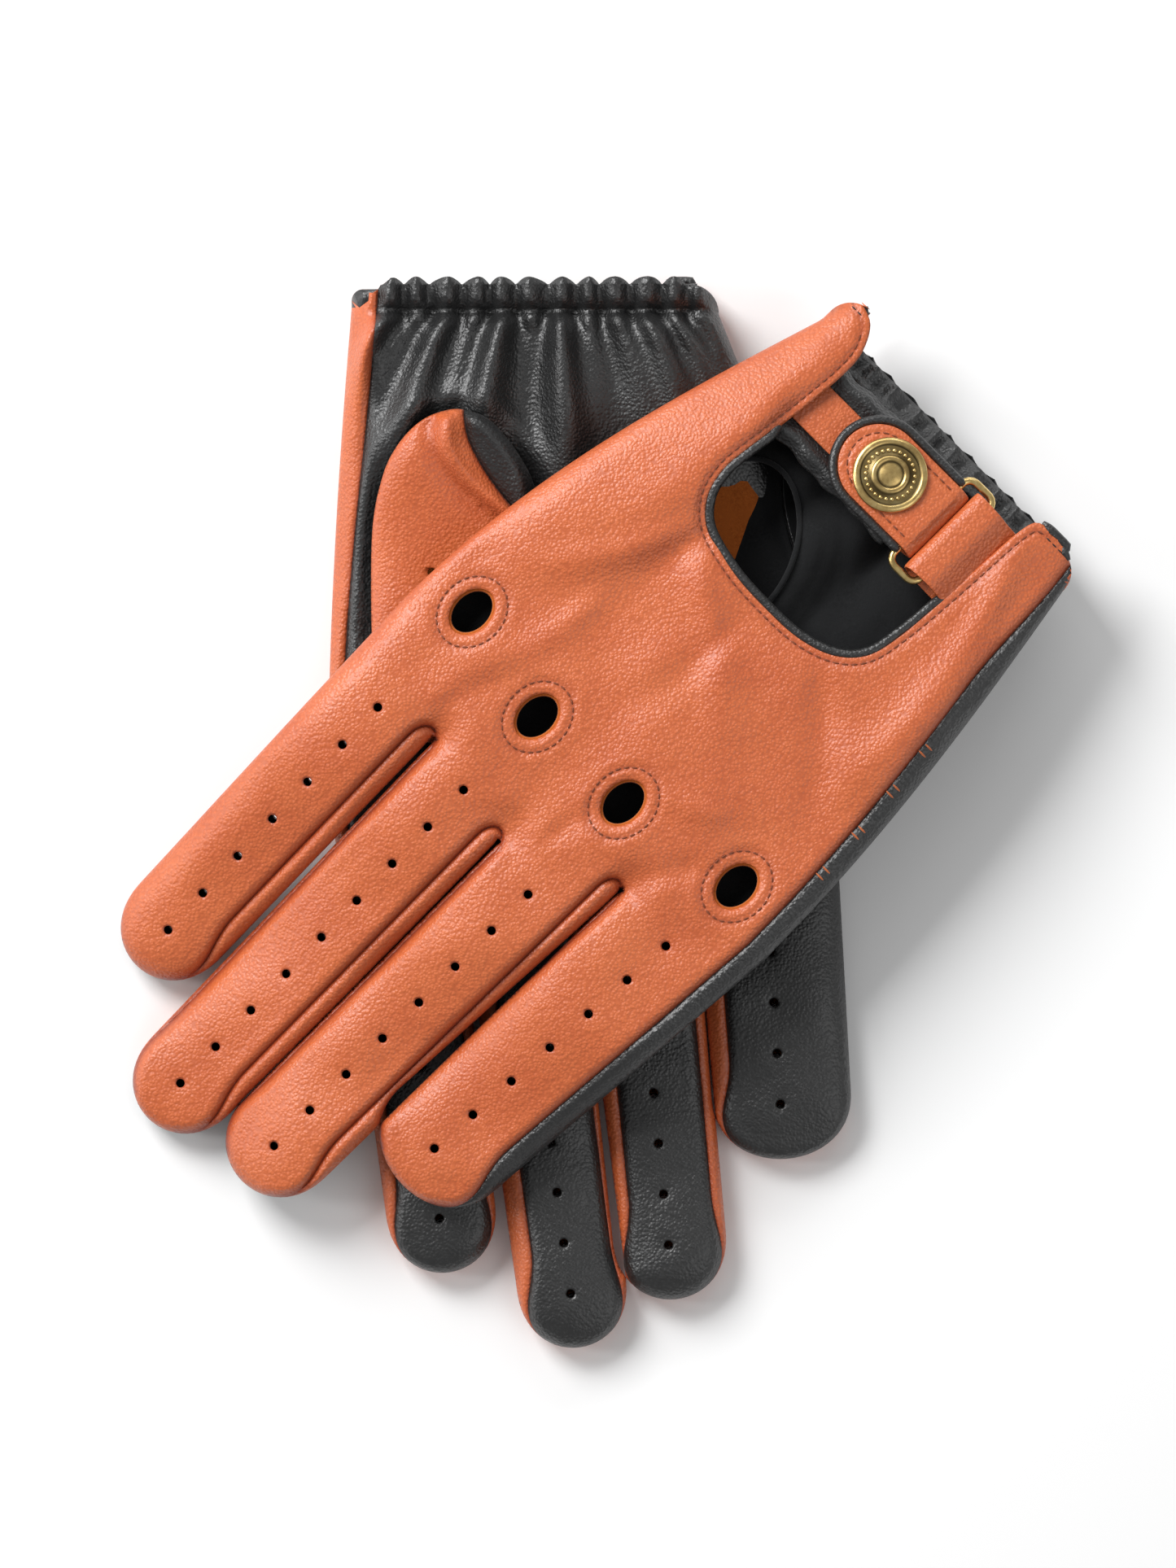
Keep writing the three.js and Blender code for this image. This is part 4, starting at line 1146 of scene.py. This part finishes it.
def sew_knuckles(g, back):
    """The facing and the ring of stitches round each knuckle hole."""
    rings = []
    for at, finger in g.holes():
        rx, ry = KNUCKLE_HOLE

        def place(turn, way, at=at):
            a = turn * 2 * math.pi
            r = 0.85 + 3.3 * way
            return at[0] + (rx - 1.1 + r) * math.cos(a), at[1] + (ry - 1.1 + r) * math.sin(a)

        around, out = 48, 5
        tops = back(np.array([place(t / around, w / out) for t in range(around) for w in range(out + 1)]))

        def under(turn, way):
            t, w = int(round(turn * around)) % around, int(round(way * out))
            lip = 0.5 if way < 0.1 else 0.0
            return *place(turn, way), float(tops[t * (out + 1) + w]) - LEATHER - 0.16 + lip

        bm = skin(around, out, under, close_ends=False)
        if sum(f.normal.z for f in bm.faces) < 0:
            bmesh.ops.reverse_faces(bm, faces=bm.faces)
        piece = finished(f"{g.name}_knuckle_facing_{finger}_leather", bm, g, "glove",
                         [orange_suede], [f"{g.name}_knuckle_facing_{finger}"])
        thicken(piece, LINING)
        loop = oval(at[0], at[1], rx + KNUCKLE_SEWN, ry + KNUCKLE_SEWN, 64)
        loop = np.vstack([loop, loop[:1]])
        rings.append(np.column_stack([loop, back(loop) + 0.16]))
    stitches = sew(rings, 1.25, 0.55, THREAD["bold"])
    finished(f"{g.name}_knuckle_stitches", stitches, g, "glove", [rust_thread])


def sew_opening(g, back, opening):
    """Piping and topstitching round the wrist opening, and the bindings on the ends of its flaps."""
    run = even(opening, 1.1)
    side = across(run)
    under = (1 - smooth(run[:, 1], -86, -80))[:, None]
    pipe = run + side * (0.45 - 1.9 * under)
    line = np.column_stack([pipe, evened(back(run - side * 0.6), 5) - 0.62 - 1.5 * under[:, 0]])
    top = line[line[:, 1] > 1.5 - g.thumb_flap_end]
    finished(f"{g.name}_opening_piping_leather", tube(top, 1.05, 16, 0.9, 3), g, "glove",
             [black_leather], [f"{g.name}_opening_piping"])
    stitches = run - side * OPENING_SEWN
    stitches = stitches[(stitches[:, 1] > 1.2 - g.thumb_flap_end) & (stitches[:, 1] > -110)]
    bm = sew([np.column_stack([stitches, back(stitches) + 0.16])], 1.45, 0.55, THREAD["bold"])
    finished(f"{g.name}_opening_stitches", bm, g, "glove", [rust_thread])

    low = opening[0]
    around = even(np.vstack([[(low[0] - 3.0, low[1] + 1.0)], [low], g.corner[::-1]]), 0.9)
    around = around[around[:, 0] < g.edge[-1, 0] - 4.6]
    bind = np.column_stack([around, evened(back(around - (0.8, -0.8)), 7) - 1.0])
    bm = tube(bind, 0.75, 14, 0.9, 3)
    finished(f"{g.name}_thumb_flap_binding_leather", bm, g, "glove", [black_leather],
             [f"{g.name}_thumb_flap_binding"])
    xs = np.arange(float(opening[-1, 0]) + 1.6, float(g.little_corner[0, 0]), -0.9)
    flap_end = np.stack([xs, np.full(len(xs), -LITTLE_FLAP_END - 0.1)], axis=1)
    around = even(np.vstack([flap_end, g.little_corner[:3]]), 0.9)
    bind = np.column_stack([around, evened(back(around + (0.6, 1.0)), 5) - 0.5])
    bm = tube(bind, 1.0, 14, 0.85, 3)
    finished(f"{g.name}_little_flap_binding_leather", bm, g, "glove", [black_leather],
             [f"{g.name}_little_flap_binding"])
    rows = []
    thumb_end = (low[0] + 1, float(g.corner[-1, 0]), 2.1 - g.thumb_flap_end)
    little_end = (float(opening[-1, 0]) - 1, float(g.little_corner[0, 0]), -LITTLE_FLAP_END + 1.8)
    for x0, x1, y in (thumb_end, little_end):
        xs = np.linspace(x0, x1, 12)
        flat = np.stack([xs, np.full(12, y)], axis=1)
        rows.append(np.column_stack([flat, back(flat) + 0.03]))
    stitches = sew(rows, 1.3, 0.6, THREAD["fine"])
    finished(f"{g.name}_flap_stitches", stitches, g, "glove", [black_thread])


def sew_side(g, back):
    """Four pairs of short cross stitches over the seam on the little side."""
    lines = []
    for y in (-22, -33.5, -45, -56):
        for shift in (-1.0, 1.0):
            x = float(g.middle(y) - g.half(y)) + SIDE_SEAM
            flat = np.array([(x - 2.6, y + shift), (x - 1.2, y + shift), (x + 0.3, y + shift)])
            lines.append(np.column_stack([flat, back(flat) + 0.22]))
    finished(f"{g.name}_side_stitches", sew(lines, 2.4, 0.2, 0.26), g, "glove", [tan_thread])


def sew_cuff(g, gathers, palm):
    """The elastic, and the palm's edge turned in over it."""
    low, high = gathers.at[-1] + 1.0, gathers.at[0] - 0.6

    def band(name, y0, y1, rise, thick, finishes, nodes, fullness):
        nx, ny = 150, 10
        spots = np.array([(low + (high - low) * i / nx, y0 + (y1 - y0) * j / ny)
                          for j in range(ny + 1) for i in range(nx + 1)])
        heights = palm(spots)
        bm = bmesh.new()
        bmesh.ops.create_grid(bm, x_segments=nx, y_segments=ny, size=0.5)
        for v in bm.verts:
            i, j = int(round((v.co.x + 0.5) * nx)), int(round((v.co.y + 0.5) * ny))
            k = j * (nx + 1) + i
            x, y = spots[k]
            puff = fullness * abs(math.cos(gathers.phase(x))) * math.sin(math.pi * min(1, j / ny))
            v.co = Vector((x, y, heights[k] + rise + puff))
        bm.normal_update()
        piece = finished(name, bm, g, "glove", finishes, nodes)
        return thicken(piece, thick)

    band(f"{g.name}_cuff_elastic_band", -102.6, -96.8, 1.75, 0.5, [elastic_cloth],
         [f"{g.name}_cuff_elastic"], 0.0)
    band(f"{g.name}_palm_hem", -107.6, -100.4, 2.9, 0.7, [black_leather], [], 1.3)
    xs = np.linspace(low + 1, high - 1, 90)
    flat = np.stack([xs, np.full(len(xs), gathers.sewn)], axis=1)
    bm = sew([np.column_stack([flat, palm(flat) - 0.05])], 1.3, 0.6, THREAD["fine"])
    finished(f"{g.name}_cuff_stitches", bm, g, "glove", [black_thread])


def sew_thumb(g):
    """The folded thumb: a tan bag with a long fold, and a black roll where it joins the palm."""
    line = dense(THUMB, 1.2, True)
    seam = dense(THUMB_SEAM, 1.0)
    start, stop = nearest(line, seam[0]), nearest(line, seam[-1])
    seam[0], seam[-1] = line[start], line[stop]

    def lining_edge(ys):
        return g.open_x + 12.5 + (-58 - ys) * 0.47

    # the edge of the black lining inside the thumb, brought on to the thumb's own line
    ys = np.linspace(-50, -78, 24)
    rel = np.stack([lining_edge(ys), ys], axis=1) - g.thumb_base
    c, n = math.cos(g.thumb_lean), math.sin(g.thumb_lean)
    lining = np.stack([rel[:, 0] * c - rel[:, 1] * n, rel[:, 0] * n + rel[:, 1] * c], axis=1)
    lining = lining[inside(lining, line) & (distance(lining, line, True) > 0.8)]
    fold, roll = dense(THUMB_FOLD, 1.0), dense(THUMB_ROLL, 1.0)
    closed = np.vstack([line, line[:1]])
    q, s, rq, rs = THUMB_HOLE
    hole = oval(q, s, rq, rs, 60)
    dots = [oval(x, y, PERFORATION, PERFORATION, 14) for x, y in THUMB_DOTS]

    def height(points, full):
        reach, power = 8.0, 2.2
        d = np.minimum(distance(points, line, True), reach)
        return d, full * (1 - (1 - d / reach) ** power) ** (1 / power)

    # the far side, away from the palm
    rows = [(k, False, (0.5, 1.2)) for k in (seam, fold, roll)]
    verts, faces = cut_sheet(line, closed, [seam, lining], dots, rows)
    d, z = height(verts, 3.2)
    free = smooth(d, 0, 1.5)
    off = distance(verts, seam)
    # the fold stands up on the right glove's thumb, and is pressed nearly flat under the left glove's
    reach = (1 if g.mirrored else 0.3) * (1 - smooth(verts[:, 1], 22, 40))
    z += free * (-1.0 * bell(off, 0.8))
    # painted shade along the thumb's seam and in the hollow beside its fold
    crease = 0.8 * bell(off, 0.6)
    off = distance(verts, fold)
    beyond = distance(verts, fold + np.array([3.8, -0.6]))
    z += free * reach * (2.4 * bell(off, 1.9) - 1.6 * bell(beyond, 1.9))
    crease = np.maximum(crease, 0.35 * bell(distance(verts, fold + np.array([3.4, -0.6])), 1.2))
    off = distance(verts, roll)
    z += free * reach * 1.8 * bell(off, 2.0)
    z += smooth(d, 0, 4) * g.ripple(verts, 16, 0.5, 3.0)
    on_edge = distance(verts, line, True) < 1e-3
    z[on_edge] = 0
    middle = verts[faces].mean(1)
    black_side = inside(middle, np.vstack([seam, line[stop:] if start < stop else line[stop:start + 1]]))
    plan = on_thumb(g, verts[:, 0], verts[:, 1])
    level = -HALF_THICK - 3.6
    far = np.column_stack([plan, level - sag(plan[:, 1]) - z])
    # the near side, against the palm and open into it
    verts2, faces2 = cut_sheet(line, closed, [], [hole], [])
    z2 = height(verts2, 2.3)[1]
    z2[distance(verts2, line, True) < 1e-3] = 0
    plan2 = on_thumb(g, verts2[:, 0], verts2[:, 1])
    near = np.column_stack([plan2, level - sag(plan2[:, 1]) + z2])
    # each grain side is followed by its own flesh side: orange, or black where the thumb is lined
    tan_faces = faces[~black_side][:, ::-1]
    spots = plan[tan_faces].mean(1)
    lined = spots[:, 0] < lining_edge(spots[:, 1])
    bm = piece_mesh([(far, tan_faces, np.where(lined, 2, 0), crease)])
    piece = finished(f"{g.name}_thumb_back_leather", bm, g, "glove",
                     [tan_leather, orange_suede, tan_leather, black_suede], [f"{g.name}_thumb_back"])
    thicken(piece, THUMB_LEATHER, 1, 1)
    parts = [(far, faces[black_side][:, ::-1], np.zeros(int(black_side.sum())), crease),
             (near, faces2, np.zeros(len(faces2)), np.zeros(len(verts2)))]
    piece = finished(f"{g.name}_thumb_front_leather", piece_mesh(parts), g, "glove",
                     [black_leather, black_suede], [f"{g.name}_thumb_front"])
    thicken(piece, THUMB_LEATHER, 1, 0)


# ------------------------------------------------------------------ the strap, its ring and its snap


def bar_arc(x, z, radius, start, stop, count):
    """Part of a turn round a bar, seen from the strap's edge; start and stop are in degrees."""
    angle = np.radians(np.linspace(start, stop, count))
    return np.stack([x + radius * np.cos(angle), z + radius * np.sin(angle)], axis=1)


def strap_piece(g, part, material, bm, body, finish):
    """A piece of the strap that stands for the CAD piece of the same name."""
    finished(f"{g.name}_{part}_{material}", bm, g, body, [finish], [f"{g.name}_{part}"], True)


def make_strap(g):
    """The base strap, its lining, the tail, the keeper, the ring and the snap."""
    ox = g.open_x
    bar = ox + RING["x"]
    wrap = RING["wire"] + RING_PLAY + 0.8
    tail_z = RING["z"] + wrap
    base_z = RING["z"] - wrap + 0.35
    make_base(g, bar + wrap + 1.1, ox + 29.0, base_z)
    make_tail(g, bar, wrap, ox + 13.0, tail_z)
    make_keeper(g, bar - RING["width"], ox)
    make_ring(g, bar)
    make_snap(g, ox + SNAP_X, base_z, tail_z)


def make_base(g, start, stop, base_z):
    """The base strap, sewn under the thumb flap, and its black lining with a roll along both edges."""
    steps = 46
    xs = np.linspace(start, stop, steps)

    def crown(f, w):
        return 0.45 * (1 - f * f)

    def unevenness(w):
        return 1 + 0.05 * math.sin(w * 31) + 0.05 * math.sin(w * 13 + 1)

    def roll(f, w):
        return (1.95 * bell(abs(f) - 0.77, 0.17) + 0.25 * bell(f, 0.5)) * unevenness(w)

    half, thickness = STRAP["base"]
    line = np.stack([xs, np.full(steps, base_z)], axis=1)
    bm = rounded_strap(line, np.full(steps, half), thickness, STRAP_Y, crown)
    strap_piece(g, "strap_base", "leather", bm, "glove", tan_leather)

    half, thickness = STRAP["lining"]
    line = np.stack([xs, np.full(steps, base_z - 1.2)], axis=1)
    widths = half * np.array([unevenness(w) ** 0.5 for w in np.linspace(0, 1, steps)])
    bm = rounded_strap(line, widths, thickness, STRAP_Y, roll, 64)
    strap_piece(g, "strap_lining", "leather", bm, "glove", black_leather)


def make_tail(g, bar, wrap, tip, tail_z):
    """The tail, its piping and its stitches: it wraps the ring's bar and comes back over the base to a round
    end."""
    half, thickness = STRAP["tail"]
    turns = 26
    round_x = tip - half
    straight = np.arange(bar + 1.2, round_x, 1.2)
    end = round_x + half * np.sin(np.radians(np.arange(0, 90.1, 5)))
    flat_xs = np.concatenate([straight, end])
    wrapped = bar_arc(bar, RING["z"], wrap, 285, 90, turns)
    wrapped[:, 0] -= 0.9 * np.cos(np.radians(np.linspace(-75, 90, turns))) ** 2
    line = np.vstack([wrapped, np.stack([flat_xs, np.full(len(flat_xs), tail_z)], axis=1)])
    widths = np.concatenate([
        np.full(turns + len(straight), half),
        half * np.sqrt(np.maximum(1e-4, 1 - ((end - tip + half) / half) ** 2)),
    ])
    last = len(line) - 1

    def face(f, w):
        # flat round the bar; past it, domed inside the row of stitches, which sinks in
        if w * last < turns - 4:
            return 0.0
        i = int(round(w * last))
        x = line[i, 0]
        inset = min(half * (1 - abs(f)), 9)
        if x > round_x:
            inset = half - math.hypot(x - tip + half, f * widths[i])
        return 0.35 * float(smooth(inset, 0, 2.5)) - 0.32 * bell(inset - 1.9, 0.5)

    def round_the_end(reach, start, count):
        """A line along both edges of the tail and round its end, reach out from the tail's middle."""
        angle = np.radians(np.linspace(-90, 90, 33))
        xs = np.linspace(start, round_x, count)[:-1]
        return np.vstack([
            np.stack([xs, np.full(count - 1, STRAP_Y - reach)], axis=1),
            np.stack([round_x + reach * np.cos(angle), STRAP_Y + reach * np.sin(angle)], axis=1),
            np.stack([np.linspace(round_x, start, count)[1:], np.full(count - 1, STRAP_Y + reach)], axis=1),
        ])

    bm = rounded_strap(line, widths, thickness, STRAP_Y, face, 84)
    strap_piece(g, "strap_tail", "leather", bm, "tail", tan_leather)
    pipe = round_the_end(half + 1.0, bar - 0.4, 18)
    bm = tube(np.column_stack([pipe, np.full(len(pipe), tail_z - 0.05)]), 0.95, 14, 1.0, 1)
    strap_piece(g, "strap_tail_piping", "leather", bm, "tail", black_leather)
    pipe = round_the_end(half - 1.9, bar + 0.6, 16)
    bm = sew([np.column_stack([pipe, np.full(len(pipe), tail_z + 0.86)])], 1.5, 0.5, 0.2)
    finished(f"{g.name}_strap_tail_stitches", bm, g, "tail", [rust_thread], (), True)


def make_keeper(g, far_bar, ox):
    """The keeper: a soft folded loop sewn under the little flap, round the ring's far bar."""
    half, thickness = STRAP["keeper"]
    hug = RING["wire"] + RING_PLAY + 0.95
    loop_x, top_z = far_bar + 1.9, RING["z"] + 0.25
    upper = [(loop_x - 1.6, top_z + hug * 1.04), (loop_x - 4.6, top_z + hug * 0.9),
             (ox - 26.5, 3.4), (ox - 28.6, 2.7), (ox - 31, 2.3)]
    line = np.vstack([
        [(ox - 31, 0.95), (ox - 28, 0.85), (ox - 25.5, 1.05)],
        bar_arc(loop_x, top_z, hug, 262, 452, 24),
        dense(upper, 0.7),
    ])
    line = even(dense(line, 0.5), 0.55)

    def gathered(f, w):
        return 0.28 * math.sin(9 * f + 2.0 * w) * math.sin(math.pi * w) + 0.25 * (1 - f * f)

    widths = np.array([half + 0.35 * math.sin(6 * w) for w in np.linspace(0, 1, len(line))])
    bm = rounded_strap(line, widths, thickness, STRAP_Y, gathered, 72)
    strap_piece(g, "strap_keeper", "leather", bm, "glove", tan_leather)


def make_ring(g, bar):
    """The ring, a closed loop of wire with rounded corners."""
    hx, hy, r = RING["width"] / 2, RING["length"] / 2, RING["corner"]
    loop = []
    for cx, cy, turn in ((hx, hy, 0), (-hx, hy, 90), (-hx, -hy, 180), (hx, -hy, 270)):
        for a in np.radians(np.arange(0, 91, 10) + turn):
            loop.append((cx - math.copysign(r, cx) + r * math.cos(a),
                         cy - math.copysign(r, cy) + r * math.sin(a)))
    loop = even(np.array(loop), 0.8, True)
    loop = np.vstack([loop, loop[:1]]) + np.array([bar - hx, STRAP_Y])
    side = across(np.vstack([loop[-2:-1], loop, loop[1:2]]))[1:-1]
    count = len(loop) - 1

    def wire(turn, way):
        i = int(round(way * count)) % count
        a = turn * 2 * math.pi
        return (*(loop[i] + side[i] * RING["wire"] * math.cos(a)), RING["z"] + RING["wire"] * math.sin(a))

    bm = skin(20, count, wire, close_ends=False)
    finished(f"{g.name}_ring_wire", bm, g, "ring", [brass], [f"{g.name}_strap_ring"], True)


def turned(profile, x, steps=72):
    """A part turned on a lathe: its profile spun round the snap's own axis."""
    bm = bmesh.new()
    verts = [bm.verts.new((r, 0, z)) for r, z in profile]
    edges = [bm.edges.new(pair) for pair in zip(verts, verts[1:])]
    bmesh.ops.spin(bm, geom=verts + edges, cent=(0, 0, 0), axis=(0, 0, 1), angle=2 * math.pi, steps=steps,
                   use_merge=True)
    bmesh.ops.remove_doubles(bm, verts=bm.verts, dist=1e-4)
    bmesh.ops.recalc_face_normals(bm, faces=bm.faces)
    bm.transform(Matrix.Translation((x, STRAP_Y, 0)))
    return bm


# profiles of the snap's parts, each (radius, height) round its axis
CAP = [(0, -1.75), (1.7, -1.75), (1.7, 0), (7.3, 0), (7.9, 0.12), (8.15, 0.45), (8.15, 0.8), (7.9, 1.15),
       (7.4, 1.32), (6.9, 1.3), (6.6, 1.1), (6.45, 0.95), (6.2, 0.95), (4.3, 1.05), (4.15, 1.2), (3.9, 1.42),
       (3.5, 1.47), (3.15, 1.4), (2.95, 1.22), (2.75, 1.18), (2.3, 1.3), (1.6, 1.48), (0.8, 1.58), (0, 1.62)]
BEADS = {"count": 26, "at": 5.3, "radius": 0.46, "height": 0.98, "flattened": 0.75}


def make_snap(g, x, base_z, tail_z):
    """The snap: the cap and the socket on the tail, and the stud and its post through the base strap."""
    low = tail_z + 0.8 + 0.15
    bm = turned([(r, low + z) for r, z in CAP], x)
    for i in range(BEADS["count"]):
        a = 2 * math.pi * i / BEADS["count"]
        bead_x, bead_y = x + BEADS["at"] * math.cos(a), STRAP_Y + BEADS["at"] * math.sin(a)
        at = Matrix.Translation((bead_x, bead_y, low + BEADS["height"]))
        squash = Matrix.Diagonal((1, 1, BEADS["flattened"], 1))
        bmesh.ops.create_uvsphere(bm, u_segments=10, v_segments=6, radius=BEADS["radius"], matrix=at @ squash)
    # the cap's shade: patina and painted shade in its grooves and between its beads, and painted shade over
    # its underside and stem
    shade = []
    for v in bm.verts:
        r = math.hypot(v.co.x - x, v.co.y - STRAP_Y)
        rise = v.co.z - low
        pit = max(bell(r - 6.45, 0.3), bell(r - 4.25, 0.3) * 0.9, bell(r - 2.85, 0.25))
        if 4.3 < r < 6.5 and rise < 1.12:
            pit = max(pit, 0.3)
        shade.append(min(1.0, pit) if rise > 0.5 else 0.4)
    finished(f"{g.name}_snap_cap_metal", bm, g, "tail", [brass], [f"{g.name}_snap_cap"], True, shade)
    base_top = base_z + 0.45
    bottom = tail_z - 0.8
    socket = [(2.1, base_top + 1.1), (4.5, base_top + 1.1), (4.9, base_top + 1.2), (5.2, base_top + 1.6),
              (5.2, bottom - 0.45), (5.0, bottom - 0.3), (2.3, bottom - 0.3), (2.1, bottom - 0.5),
              (2.1, base_top + 1.1)]
    strap_piece(g, "snap_socket", "metal", turned(socket, x, 48), "tail", brass)
    stud = [(0, base_top + 0.15), (4.4, base_top + 0.15), (4.6, base_top + 0.25), (4.6, base_top + 0.5),
            (4.3, base_top + 0.62), (1.6, base_top + 0.75), (1.4, base_top + 0.9), (1.4, base_top + 1.2),
            (1.62, base_top + 1.4), (1.7, base_top + 1.6), (1.55, bottom - 0.4), (1.2, bottom - 0.3),
            (0, bottom - 0.3)]
    strap_piece(g, "snap_stud", "metal", turned(stud, x, 48), "glove", brass)
    under = base_z - 1.2 - 0.45
    post = [(0, under - 0.9), (4.2, under - 0.9), (4.6, under - 0.72), (4.6, under - 0.42),
            (4.4, under - 0.3), (1.2, under - 0.3), (1.2, base_top - 0.1), (0, base_top - 0.1)]
    strap_piece(g, "snap_post", "metal", turned(post, x, 48), "glove", brass)


for glove_name, pose in GLOVES.items():
    glove = Glove(glove_name, **pose)
    back, palm, opening, gathers = sew_hand(glove)
    sew_knuckles(glove, back)
    sew_opening(glove, back, opening)
    sew_side(glove, back)
    sew_cuff(glove, gathers, palm)
    sew_thumb(glove)
    make_strap(glove)

# ------------------------------------------------------------------ table, light and camera

paper = Finish("table_top").set(Specular_IOR_Level=0.05)
paper.colour(paper.ramp(paper.noise(3, 2), [(0.3, (0.93, 0.93, 0.93)), (0.7, (0.95, 0.95, 0.95))]))
paper.rough(paper.between(paper.noise(6, 2), 0.85, 0.95))
bm = bmesh.new()
bmesh.ops.create_grid(bm, x_segments=2, y_segments=2, size=3.0)
mesh = bpy.data.meshes.new("table_top")
bm.to_mesh(mesh)
bm.free()
mesh.materials.append(paper.material)
table = bpy.data.objects.new("table_top", mesh)
bpy.context.scene.collection.objects.link(table)

world = bpy.data.worlds.new("studio")
world.use_nodes = True
world.node_tree.nodes["Background"].inputs["Color"].default_value = (1, 1, 1, 1)
world.node_tree.nodes["Background"].inputs["Strength"].default_value = 0.33
bpy.context.scene.world = world


def soft_box(name, place, aim, size, power):
    lamp = bpy.data.lights.new(name, "AREA")
    lamp.shape = "RECTANGLE"
    lamp.size, lamp.size_y = size
    lamp.energy = power
    box = bpy.data.objects.new(name, lamp)
    box.location = place
    box.rotation_mode = "QUATERNION"
    box.rotation_quaternion = (Vector(aim) - Vector(place)).to_track_quat("-Z", "Y")
    bpy.context.scene.collection.objects.link(box)


soft_box("key_box", (-0.75, 0.85, 0.95), (0, 0, 0), (0.7, 0.7), 22)
soft_box("top_strip", (0.1, 1.5, 0.75), (0, 0, 0), (1.4, 0.25), 6)
soft_box("side_strip", (-1.5, 0.1, 0.6), (0, 0, 0), (0.25, 1.4), 7)
soft_box("fill_box", (0.9, -0.4, 1.1), (0, 0, 0), (0.9, 0.9), 3)

CAMERA_HEIGHT = 2.5          # metres, as are the next two
PAIR_LEVEL = 0.015           # the level at which the view is VIEW_LENGTH long
VIEW_LENGTH = 0.3372
SENSOR = 36

lens = bpy.data.cameras.new("overhead_camera")
lens.lens = SENSOR * (CAMERA_HEIGHT - PAIR_LEVEL) / VIEW_LENGTH
lens.clip_start, lens.clip_end = 0.1, 20
camera = bpy.data.objects.new("overhead_camera", lens)
camera.location = (LAID[0] * MM, LAID[1] * MM, CAMERA_HEIGHT)
bpy.context.scene.collection.objects.link(camera)
bpy.context.scene.camera = camera
bpy.context.scene.view_settings.view_transform = "Standard"

bpy.context.view_layer.update()
